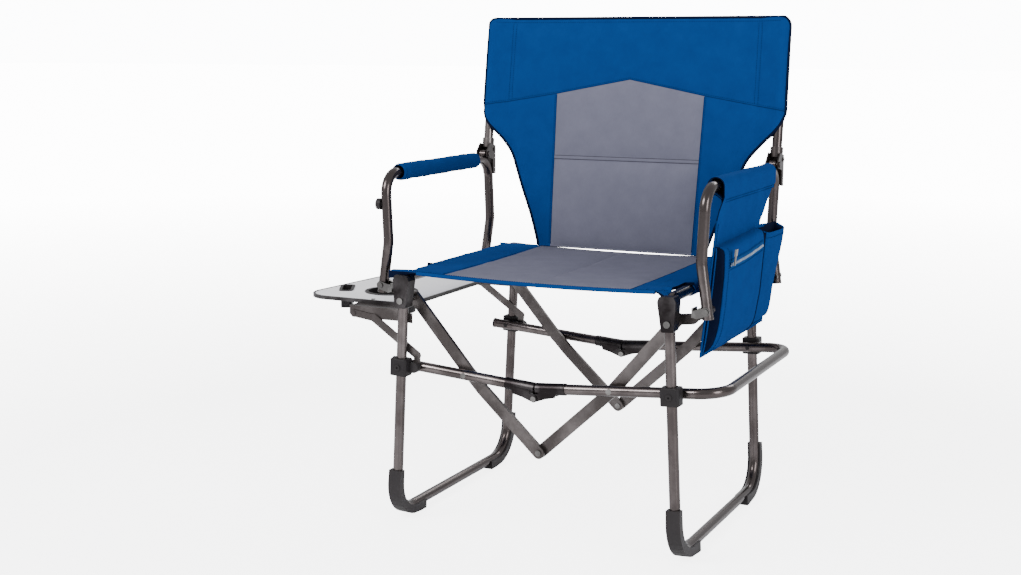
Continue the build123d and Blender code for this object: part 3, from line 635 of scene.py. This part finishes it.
def make_back():
    outer = band("wing", 22) + band("hem", 22, first=False)
    made = back_piece("back_cover_left", outer, -1, True)
    side_seams(made, -1)
    left = made.build("blue_cloth")
    middle = middle_back().build("grey_cloth")
    made = back_piece("back_cover_right", band("grey", 20) + band("wing", 22, first=False)
                      + band("hem", 22, first=False), 1, True)
    side_seams(made, 1)
    right = made.build("blue_cloth")
    for piece, nodes_of in ((left, ("back_wing_left",)), (middle, ("back_centre",)),
                            (right, ("back_wing_right",))):
        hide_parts(*nodes_of)
    for piece, side, word in ((left, -1, "left"), (right, 1, "right")):
        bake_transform(piece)
    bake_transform(middle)


def middle_back():
    """The panel from the left side of the grey centre to the fold line on its right."""
    columns = [("grey", -t) for t in reversed(crowded(20)[1:])] + band("core", 12)
    return back_piece("back_cover_middle", columns, 1, False)


# ---- carry strap behind the top of the back ----
def make_strap():
    made = Cloth("carry_strap_webbing", ["navy_cloth", "blue_thread"])
    low, high = span("carry_strap")
    half, mid_h = (high.x - low.x) / 2, BACK_TOP_H - 26
    width, thick = 24.0, 1.6
    rows = []
    for k in range(41):
        s = lerp(-1, 1, k / 40)
        lift = 11.5 * max(0.0, 1 - abs(s) ** 3.2) + 1.6
        rows.append((s * half, lift, width * (1 - 0.10 * (1 - s * s))))
    face, back = [[[on_back(x, mid_h + w * (t - 0.5), POST_D + lift + more) for t in crowded(8)]
                   for x, lift, w in rows] for more in (thick, 0.0)]
    made.thick(face, back, [[(x, w * t) for t in crowded(8)] for x, _, w in rows],
               lambda i, j: "navy_cloth", "navy_cloth")
    for s in (-1, 1):
        box = [on_back(s * (half - dx), mid_h + dh, POST_D + 3.4)
               for dx, dh in ((2, -8), (10, -8), (10, 8), (2, 8), (2, -8), (10, 8))]
        made.stitches(box, REAR, "blue_thread")
    piece = made.build("navy_cloth")
    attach(piece, "back_centre")
    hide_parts("carry_strap")


# ---- seat: two padded halves, each sewn round its rail ----
SEAT_LOW, SEAT_HIGH = span("seat_right")
SLEEVE_END_FRONT, SLEEVE_END_REAR = -128.0, 182.0
SEAT_SLEEVE_R = TUBE_R + 2.3
SEAT_GREY = 178.0      # half width of the grey panel
SEAM_X = 208.0         # where the sleeve round the rail is sewn shut
CORNER_Y, CORNER_TIP_Y = -203, -214   # the front hem corner begins, and stands out in full


def seat_top(x, y):
    """Height of the middle of the seat cloth: hung between the rails, a little lower in the middle."""
    t = clamp(x / RAIL.x)
    end = abs(y) / 230
    return RAIL.z + SEAT_SLEEVE_R - 1.5 - (9.5 - 4.0 * end * end) * (1 - t * t)


def seat_edge(y, side):
    """Outer edge of a seat half: round the rail, short of it in front, with a hem corner there."""
    if SLEEVE_END_FRONT <= y <= SLEEVE_END_REAR:
        return RAIL.x + SEAT_SLEEVE_R
    if y > SLEEVE_END_REAR:
        return lerp(RAIL.x + SEAT_SLEEVE_R, RAIL.x - 20, ease(SLEEVE_END_REAR, SLEEVE_END_REAR + 5, y))
    notch = RAIL.x - 7
    corner = RAIL.x + (34 if side < 0 else 2)
    if y > CORNER_Y:
        return lerp(RAIL.x + SEAT_SLEEVE_R, notch, ease(SLEEVE_END_FRONT, SLEEVE_END_FRONT - 5, y))
    return lerp(notch, corner, ease(CORNER_Y, CORNER_TIP_Y, y))


def seat_half(side):
    """One half of the seat, from the fold line round the rail; side is -1 on the left."""
    word = "left" if side < 0 else "right"
    made = Cloth(f"seat_cover_{word}", ["blue_cloth", "grey_cloth", "navy_cloth", "blue_thread"])
    front, rear = SEAT_LOW.y - 4, SEAT_HIGH.y
    steps = (0, 1.2, 2.5, 3.8, 5)
    stations = {round(front + (rear - front) * t, 3) for t in crowded(40)}
    stations |= {SLEEVE_END_FRONT - d for d in steps} | {SLEEVE_END_REAR + d for d in steps}
    stations |= {CORNER_Y - d for d in (0, 3, 6, 9, 11, 15)} | {float(y) for y in range(-170, 190, 12)}
    stations = sorted(stations)
    cols = [("grey", t) for t in crowded(20)] + [("blue", t) for t in crowded(12)[1:]]
    cols += [("wrap", t) for t in crowded(18)[1:]]
    top, low, uv = [], [], []
    for y in stations:
        edge = seat_edge(y, side)
        sleeve = SLEEVE_END_FRONT <= y <= SLEEVE_END_REAR
        a, b, c = [], [], []
        for band_name, t in cols:
            grey, seam = min(SEAT_GREY, edge), min(SEAM_X, edge)
            ends = {"grey": (0.0, grey), "blue": (grey, seam), "wrap": (seam, edge)}[band_name]
            x = lerp(*ends, t)
            z = seat_top(x, y)
            if x < SEAT_GREY:
                inside = [SEAT_GREY - x, y - front - 9, rear - 7 - y, x * 2 + 8]
                up = cushion(inside, 1.3, 4.2, 20, 1.2 * ripple(side * x, y, 70, 5.5), 22)
            else:
                up = 1.3 + pad([x - SEAT_GREY, y - front - 9, rear - 7 - y], 1.6, 10)
                up += 0.8 * ripple(side * x, y, 30, 9.5)
            down = 1.3 + pad([y - front - 6, rear - 6 - y], 1.0, 14)
            gap = x - RAIL.x
            if sleeve and x > SEAM_X:
                share = (x - SEAM_X) / (RAIL.x - SEAM_X)
                if gap < 0:
                    whole = seat_top(RAIL.x, y) - RAIL.z + SEAT_SLEEVE_R
                    down = max(down, lerp(0, whole, min(1.0, share * 1.12)))
                    down = min(down, z - RAIL.z + math.sqrt(max(0.0, SEAT_SLEEVE_R ** 2 - min(0, gap) ** 2))
                               if abs(gap) < SEAT_SLEEVE_R * 0.7 else down)
                else:
                    ring = math.sqrt(max(0.0, SEAT_SLEEVE_R ** 2 - gap ** 2))
                    z, up, down = RAIL.z, ring, ring
            elif y < -200 and x > RAIL.x - 24:
                droop = ease(RAIL.x - 24, edge, x)
                z -= droop * (4 if side < 0 else 13)
                ear = ease(CORNER_Y, CORNER_TIP_Y, y)
                down += droop * (8 if side < 0 else 10) * ear
                up += droop * 2.5 * ear
            a.append(Vector((side * x, y, z + up)))
            b.append(Vector((side * x, y, z - down)))
            c.append((side * x, y))
        top.append(a)
        low.append(b)
        uv.append(c)
    hem_rows = [i for i, y in enumerate(stations) if y < front + 8]

    def paint(i, j):
        return "grey_cloth" if cols[j + 1][0] == "grey" and i >= len(hem_rows) else "blue_cloth"

    made.thick(top, low, uv, paint, "navy_cloth")
    ahead = Vector((0, 0, 1))
    hem_y = front + 9.5
    made.stitches([Vector((side * x, hem_y, seat_top(x, hem_y) + 1.6)) for x in range(2, int(RAIL.x), 6)],
                  ahead, "blue_thread")
    for x0 in (SEAT_GREY + 3, SEAM_X):
        made.stitches([Vector((side * x0, y, seat_top(x0, y) + 1.9))
                       for y in range(int(front) + 12, int(rear) - 6, 6)], ahead, "blue_thread")
    rim = [Vector((side * x, front, seat_top(x, front) - 0.4)) for x in range(0, int(RAIL.x - 22), 6)]
    made.cord(rim, 3.4, "blue_cloth", sides=10)
    piece = made.build("blue_cloth")
    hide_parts(f"seat_{word}")
    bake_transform(piece)


# ---- left armrest: a foam roll in a sewn cover ----
def arm_rings(y0, y1, base, wave, seed, squeeze):
    """Creased rings of (point, cloth coordinate) about the y axis, drawn in by squeeze at both ends."""
    rings = []
    n_around = 48
    for t in crowded(46):
        y = lerp(y0, y1, t)
        ring = []
        for a in range(n_around):
            angle = 2 * math.pi * a / n_around
            fold = wave * ripple(12 * math.cos(angle) + y * 0.25, 12 * math.sin(angle), 11, seed)
            fold += wave * 0.7 * ripple(math.cos(angle) * 9, y, 16, seed + 3)
            radius = base + fold - squeeze * math.exp(-min(y - y0, y1 - y) / 5.0)
            place = Vector((math.sin(angle) * radius, y, math.cos(angle) * radius))
            ring.append((place, (base * angle, y)))
        rings.append(ring)
    return rings


def armrest_pad():
    low, high = span("armrest_pad_left")
    x, z, base = (low.x + high.x) / 2, (low.z + high.z) / 2, (high.z - low.z) / 2 - 0.6
    made = Cloth("armrest_pad_cover_left", ["blue_cloth", "navy_cloth", "blue_thread"])
    rings = arm_rings(low.y, high.y, base, 1.5, 2.2, 1.6)
    centre = Vector((x, 0, z))
    place = [[(centre + p, uv) for p, uv in ring] for ring in rings]

    def shrunk(ring, radius, dy):
        """The ring drawn in to a radius and moved along the tube."""
        kept = []
        for p, uv in ring:
            reach = max((Vector((p.x, 0, p.z)) - centre).length, 1)
            kept.append((Vector((x + (p.x - x) * radius / reach, p.y + dy,
                                 z + (p.z - z) * radius / reach)), uv))
        return kept

    tucks = ((TUBE_R + 0.4, 9), (base - 3.6, 5), (base - 2.6, 0.4))
    every = [shrunk(place[0], radius, dy) for radius, dy in tucks] + place
    every += [shrunk(place[-1], radius, -dy) for radius, dy in reversed(tucks)]
    made.loft(every, lambda i, k: "navy_cloth" if i < 2 or i > len(every) - 4 else "blue_cloth",
              "navy_cloth", "navy_cloth")
    for dx in (-2.4, 2.4):
        made.stitches([Vector((x + 7 + dx, y, z - math.sqrt(base ** 2 - 60))) for y in
                       range(int(low.y) + 6, int(high.y) - 4, 6)], Vector((0.4, 0, -0.9)), "blue_thread")
    for y in (low.y + 7, high.y - 7):
        made.stitches([Vector((x + math.sin(a) * (base + 0.2), y, z + math.cos(a) * (base + 0.2)))
                       for a in (2 * math.pi * k / 40 for k in range(41))],
                      Vector((0, 0, 1)), "blue_thread", pitch=5)
    piece = made.build("blue_cloth")
    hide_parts("armrest_pad_left")
    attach(piece, "left_arm")


# ---- right armrest: sleeve and hanging pocket panel in one cloth ----
PANEL_LOW, PANEL_HIGH = span("pocket_panel_right")
PANEL_TOP_XZ = (PANEL_HIGH.x - 1.6, PANEL_HIGH.z - 4)
PANEL_FOOT_XZ = (PANEL_LOW.x + 1.0, PANEL_LOW.z)
PANEL_Y = PANEL_HIGH.y


def panel_x(z, off=0.0):
    """The hanging panel's x at a height, and off millimetres outside it."""
    t = (PANEL_TOP_XZ[1] - z) / (PANEL_TOP_XZ[1] - PANEL_FOOT_XZ[1])
    return lerp(PANEL_TOP_XZ[0], PANEL_FOOT_XZ[0], t) + off


SLEEVE_FOOT_Z, PANEL_HEAD_Z = 636, 590   # between them the cloth narrows in front to the panel
NOTCH_Y, NOTCH_HEAD_Z, NOTCH_FOOT_Z = 76, 640, 556   # the rear edge's slope, ended by a short step


def pocket_cover():
    """Round the armrest tube, sewn to itself below it, and hanging outside as the pocket panel."""
    low, high = span("armrest_cover_right")
    made = Cloth("armrest_cover_and_panel_right", ["blue_cloth", "navy_cloth", "blue_thread"])
    centre = ((low.x + high.x) / 2 + 1.2, (low.z + high.z) / 2)
    radius = (high.z - low.z) / 2 + 1.6
    seam_z = centre[1] - 25
    path = [(panel_x(seam_z) - 2.4, seam_z - 4), (panel_x(seam_z) - 3.4, seam_z + 3),
            (centre[0] + 2, seam_z + 9)]
    path += [(centre[0] + radius * math.cos(a), centre[1] + radius * math.sin(a))
             for a in (math.radians(d) for d in range(-128, -370, -11))]
    path += [(panel_x(z), z) for z in (PANEL_TOP_XZ[1] - 6, 618, 606)]
    path += [(panel_x(z), z) for z in (lerp(594, PANEL_FOOT_XZ[1], t) for t in crowded(34))]
    path = [Vector((x, 0, z)) for x, z in path]
    arc = [0.0]
    for a, b in zip(path, path[1:]):
        arc.append(arc[-1] + (b - a).length)
    outer, inner, uv = [], [], []
    for k, p in enumerate(path):
        along = (path[min(k + 1, len(path) - 1)] - path[max(k - 1, 0)]).normalized()
        out = Vector((along.z, 0, -along.x)) * -1
        if k > 3 and out.dot(p - Vector((centre[0], 0, centre[1] - 60))) < 0:
            out = -out
        hanging = k > len(path) - 38
        y0, y1 = low.y - 1, high.y + 1
        if hanging:
            slope = clamp((NOTCH_HEAD_Z - p.z) / (NOTCH_HEAD_Z - NOTCH_FOOT_Z))
            y0 = lerp(y0, -PANEL_Y, ease(SLEEVE_FOOT_Z, PANEL_HEAD_Z, p.z))
            y1 = lerp(lerp(y1, NOTCH_Y, slope), PANEL_Y, ease(NOTCH_FOOT_Z, NOTCH_FOOT_Z - 8, p.z))
        a, b, c = [], [], []
        for t in crowded(44):
            y = lerp(y0, y1, t)
            wave = 1.6 * ripple(y, arc[k], 55, 4.4) + 0.9 * ripple(y, arc[k], 19, 8.2)
            wave *= 1.0 if hanging else 0.6
            middle = Vector((p.x, y, p.z)) + out * wave
            a.append(middle + out * 0.9)
            b.append(middle - out * 0.9)
            c.append((y, arc[k]))
        outer.append(a)
        inner.append(b)
        uv.append(c)
    made.thick(outer, inner, uv, lambda i, j: "blue_cloth", "navy_cloth")
    right = Vector((1, 0, 0))
    for dz in (-2, 2):
        made.stitches([Vector((panel_x(seam_z + dz) + 1.6, y, seam_z + dz)) for y in range(-154, 138, 6)],
                      right, "blue_thread")
    foot = PANEL_FOOT_XZ[1]
    edge = [Vector((panel_x(z), -PANEL_Y + 0.4, z)) for z in range(PANEL_HEAD_Z, int(foot), -8)]
    edge += [Vector((panel_x(foot), y, foot + 0.5)) for y in range(int(-PANEL_Y), int(PANEL_Y), 8)]
    edge += [Vector((panel_x(z), PANEL_Y - 0.4, z)) for z in range(int(foot), 546, 8)]
    made.cord(edge, 1.9, "blue_cloth", sides=8)
    made.stitches([Vector((panel_x(z) + 1.4, -PANEL_Y + 6, z)) for z in range(584, int(foot) + 6, -6)],
                  right, "blue_thread")
    made.stitches([Vector((panel_x(foot + 6) + 1.6, y, foot + 6))
                   for y in range(int(-PANEL_Y) + 8, int(PANEL_Y) - 6, 6)], right, "blue_thread")
    piece = made.build("blue_cloth")
    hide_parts("armrest_cover_right", "pocket_panel_right")
    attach(piece, "right_arm")


# ---- the two pockets on the panel ----
SIDE_STEPS, CORNER_STEPS, FACE_STEPS, BACK_STEPS = 5, 5, 22, 6   # points round one level of a pocket


def pocket_ring(node, t, depth, round_to, waist, fall, seed):
    """One level of a pocket on the panel: its front gusset, its puffed face and its rear gusset.

    t runs from its foot to its rim; the rim falls towards the front by fall."""
    low, high = span(node)
    middle, half = (low.y + high.y) / 2, (high.y - low.y) / 2 * waist
    depth = max(depth, 0.4)
    turn = min(round_to, depth * 0.6, half * 0.9)
    outline = [(-half, lerp(1.4, depth - turn, k / SIDE_STEPS)) for k in range(SIDE_STEPS)]
    outline += [(-half + turn * (1 - math.cos(a)), depth - turn * (1 - math.sin(a)))
                for a in (math.pi / 2 * k / CORNER_STEPS for k in range(CORNER_STEPS))]
    face = [(lerp(-half + turn, half - turn, k / FACE_STEPS), depth) for k in range(FACE_STEPS + 1)]
    rest = [(-y, off) for y, off in reversed(outline)]
    back = [(lerp(half, -half, (k + 1) / (BACK_STEPS + 1)), 1.2) for k in range(BACK_STEPS)]
    ring = []
    for y, off in outline + face + rest + back:
        s = y / max(half, 1)
        z = lerp(low.z, high.z - fall * (0.5 - s / 2), t)
        if off > depth - turn - 0.01:
            off += (0.10 * depth * (1 - s * s) + 1.3 * ripple(y, z, 30, seed)) * min(1, depth / 8)
        ring.append((Vector((panel_x(z, off), middle + y, z)), (y + off, z)))
    return ring


FACE_FROM = SIDE_STEPS + CORNER_STEPS
FACE_TO = FACE_FROM + FACE_STEPS
ZIP_BELOW_TOP, TOOTH_PITCH = 34, 2.6


def zip_pocket():
    node = "zip_pocket_right"
    low, high = span(node)
    made = Cloth("zip_pocket_bag_right",
                 ["blue_cloth", "navy_cloth", "zip_tape", "zip_teeth", "blue_thread"])
    full = high.x - panel_x(high.z) - 4

    def depth_at(t):
        return full * (1 - (1 - t) ** 9) ** 0.5 * (1 - 0.30 * t ** 6) * (1 - t ** 60) ** 0.5

    def level_at(t):
        return pocket_ring(node, t, depth_at(t), round_to=7, waist=1.0, fall=7, seed=6.1)

    rings = [level_at(t) for t in crowded(46)]
    made.loft(rings, lambda i, k: "navy_cloth" if k < FACE_FROM - 2 else "blue_cloth",
              "blue_cloth", "blue_cloth")
    corner = [ring[FACE_FROM - 2][0] + Vector((0.6, -0.4, 0)) for ring in rings]
    root = [ring[1][0] + Vector((0, -0.7, 0)) for ring in rings]
    far = [ring[FACE_TO + 2][0] + Vector((0.5, 0.5, 0)) for ring in rings]
    for line, finish in ((corner, "blue_cloth"), (root, "blue_cloth"), (far, "navy_cloth")):
        made.cord(thin_path(line[2:-2], 3), 1.6, finish, sides=8)
    out = Vector((1, 0, 0))
    made.stitches([ring[FACE_FROM + 1][0] + Vector((0.5, 0, 0)) for ring in rings[4:-4]],
                  out, "blue_thread")
    zip_at = 1 - ZIP_BELOW_TOP / (high.z - low.z)

    def front_at(share, dz):
        """A point on the pocket's face: share of the way across, dz above the zip's line."""
        t = zip_at + (dz + 6 * share * share) / (high.z - low.z)
        ring = level_at(t)
        place = FACE_FROM + share * FACE_STEPS
        k = min(int(place), FACE_TO - 1)
        return lerp(ring[k][0], ring[k + 1][0], place - k)

    shares = [lerp(0.07, 0.97, k / 40) for k in range(41)]
    tape = [[front_at(u, dz) + out * lift for u in shares]
            for dz, lift in ((-6.5, 0.6), (-3.4, 1.5), (3.4, 1.5), (6.5, 0.6))]
    under = [[p - out * 1.2 for p in row] for row in tape]
    made.thick(tape, under, [[(u * 200, i * 4) for u in shares] for i in range(4)],
               lambda i, j: "zip_tape", "navy_cloth")
    teeth = [front_at(u, 0) + out * 1.7 for u in shares]
    total = sum((b - a).length for a, b in zip(teeth, teeth[1:]))
    for k in range(int(total / TOOTH_PITCH)):
        p = along_path(teeth, k * TOOTH_PITCH + 1)
        dz = 1.1 if k % 2 else -1.1
        made.cord([p + Vector((0, 0, dz - 1.2)), p + Vector((0.5, 0, dz)), p + Vector((0, 0, dz + 1.2))],
                  0.75, "zip_teeth", sides=6)
    for dz in (-9, 9):
        made.stitches([front_at(u, dz) + out * 0.3 for u in shares], out, "blue_thread")
    piece = made.build("blue_cloth")
    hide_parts(node)
    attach(piece, "right_arm")


def bottle_pocket():
    node = "bottle_pocket_right"
    low, high = span(node)
    made = Cloth("bottle_pocket_bag_right", ["blue_cloth", "navy_cloth", "blue_thread"])
    full = (high.x - panel_x(high.z) - 2) * 0.84

    def depth_at(t):
        return full * (0.62 + 0.38 * ease(0.1, 1.0, t)) * (1 - (1 - t) ** 30) ** 0.5

    def ring_at(t, shrink=1.0):
        ring = pocket_ring(node, t, depth_at(t), round_to=22, waist=1.0 - 0.05 * (1 - t), fall=0, seed=2.7)
        if t > 0.9:
            ring = [(p + Vector((0, 0, 9 * (t - 0.9) / 0.1 * (1 - (p.x - panel_x(p.z)) / full))), uv)
                    for p, uv in ring]
        middle = sum((p for p, _ in ring), Vector()) / len(ring)
        return [(middle + (p - middle) * shrink + Vector((0, 0, (p - middle).z * (1 - shrink))), uv)
                for p, uv in ring]

    rings = [ring_at(t) for t in crowded(44)]
    fold = [[(p + Vector((0, 0, 1.2)), uv) for p, uv in ring_at(1.0, 0.98)]]
    lining = [ring_at(t, 0.93) for t in (0.995, 0.96, 0.88, 0.75, 0.6)]
    every = rings + fold + lining
    made.loft(every, lambda i, k: "navy_cloth" if i >= len(rings) + 1 or k >= FACE_TO + 6 else "blue_cloth",
              "blue_cloth", "navy_cloth")
    for k in (FACE_FROM - 3, FACE_TO + 3):
        line = [ring[k][0] + Vector((0.4, 0, 0)) for ring in rings[2:]]
        made.cord(thin_path(line, 3), 1.7, "navy_cloth", sides=8)
    hem = [p + Vector((0.3, 0, -1)) for p, _ in ring_at(0.955)[3:FACE_TO + 6]]
    made.stitches(hem, Vector((1, 0, 0)), "blue_thread")
    piece = made.build("blue_cloth")
    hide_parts(node)
    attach(piece, "right_arm")


# ---- floor, light and camera ----
def seen_by_camera(nodes, links, lighting, looking):
    """One strength for the light that reaches the chair and another for the paper behind it."""
    seen = nodes.new("ShaderNodeLightPath").outputs["Is Camera Ray"]
    strength = nodes.new("ShaderNodeMapRange")
    strength.inputs[3].default_value = lighting
    if isinstance(looking, bpy.types.NodeSocket):
        links.new(looking, strength.inputs[4])
    else:
        strength.inputs[4].default_value = looking
    links.new(seen, strength.inputs[0])
    return strength.outputs[0]


def make_floor():
    """A wide pale floor that brightens away from the chair until it meets the backdrop."""
    size, n = 90.0, 24
    mesh = bpy.data.meshes.new("studio_floor")
    points = [((i / n - 0.5) * size, (j / n - 0.5) * size, -0.0003)
              for j in range(n + 1) for i in range(n + 1)]
    faces = [(j * (n + 1) + i, j * (n + 1) + i + 1, (j + 1) * (n + 1) + i + 1, (j + 1) * (n + 1) + i)
             for j in range(n) for i in range(n)]
    mesh.from_pydata(points, [], faces)
    floor = bpy.data.objects.new("studio_floor", mesh)
    bpy.context.scene.collection.objects.link(floor)
    material, nodes, links, shader = new_material("pale studio floor")
    place = nodes.new("ShaderNodeTexCoord").outputs["Object"]
    cloud = noise_of(nodes, links, place, 0.8, 3.0)
    paint = mixed(nodes, links, cloud, (0.86, 0.86, 0.875), (0.9, 0.9, 0.91))
    links.new(paint, shader.inputs["Base Color"])
    shader.inputs["Roughness"].default_value = 0.5
    shader.inputs["Specular IOR Level"].default_value = 0.2
    shader.inputs["Emission Color"].default_value = (1.0, 1.0, 1.0, 1)
    far = nodes.new("ShaderNodeVectorMath")
    far.operation = "LENGTH"
    links.new(place, far.inputs[0])
    paper = nodes.new("ShaderNodeMapRange")
    links.new(far.outputs["Value"], paper.inputs[0])
    near, beyond, near_glow, far_glow = 1.2, 6.0, 4.6, 13.0
    for socket, value in zip(list(paper.inputs)[1:], (near, beyond, near_glow, far_glow)):
        socket.default_value = value
    links.new(seen_by_camera(nodes, links, 0.15, paper.outputs[0]), shader.inputs["Emission Strength"])
    mesh.materials.append(material)


def soft_box(name, place, target, size, power):
    light = bpy.data.lights.new(name, "AREA")
    light.shape, light.size, light.size_y = "RECTANGLE", size[0], size[1]
    light.energy = power
    holder = bpy.data.objects.new(name, light)
    holder.location = place
    holder.rotation_euler = (Vector(target) - Vector(place)).to_track_quat("-Z", "Y").to_euler()
    bpy.context.scene.collection.objects.link(holder)


def make_light():
    world = bpy.data.worlds.new("studio")
    world.use_nodes = True
    tree = world.node_tree
    tree.nodes["Background"].inputs[0].default_value = (0.97, 0.98, 1.0, 1)
    tree.links.new(seen_by_camera(tree.nodes, tree.links, 0.85, 13.0), tree.nodes["Background"].inputs[1])
    bpy.context.scene.world = world
    middle = (MID.x, MID.y, 0.5)
    soft_box("key", (-1.4, -2.6, 2.6), middle, (1.6, 1.2), 120)
    soft_box("fill", (3.2, -1.6, 1.5), middle, (1.2, 2.0), 80)
    soft_box("rim", (0.4, 2.8, 2.4), middle, (2.4, 0.8), 45)


EYE = (1057.4, -2486.1, 882.5)
LENS, LOOK_DOWN, LOOK_LEFT = 51.305, math.radians(9.589), math.radians(25.942)


def make_camera():
    """The standing eye of a catalogue view: right of the middle, a little above the arms."""
    data = bpy.data.cameras.new("camera")
    data.sensor_width, data.lens = 36.0, LENS
    holder = bpy.data.objects.new("camera", data)
    holder.location = metres(EYE)
    holder.rotation_euler = (math.pi / 2 - LOOK_DOWN, 0, LOOK_LEFT)
    bpy.context.scene.collection.objects.link(holder)
    bpy.context.scene.camera = holder


make_camera()
finish_frame()
make_back()
make_strap()
for half_side in (-1, 1):
    seat_half(half_side)
armrest_pad()
pocket_cover()
zip_pocket()
bottle_pocket()
make_floor()
make_light()
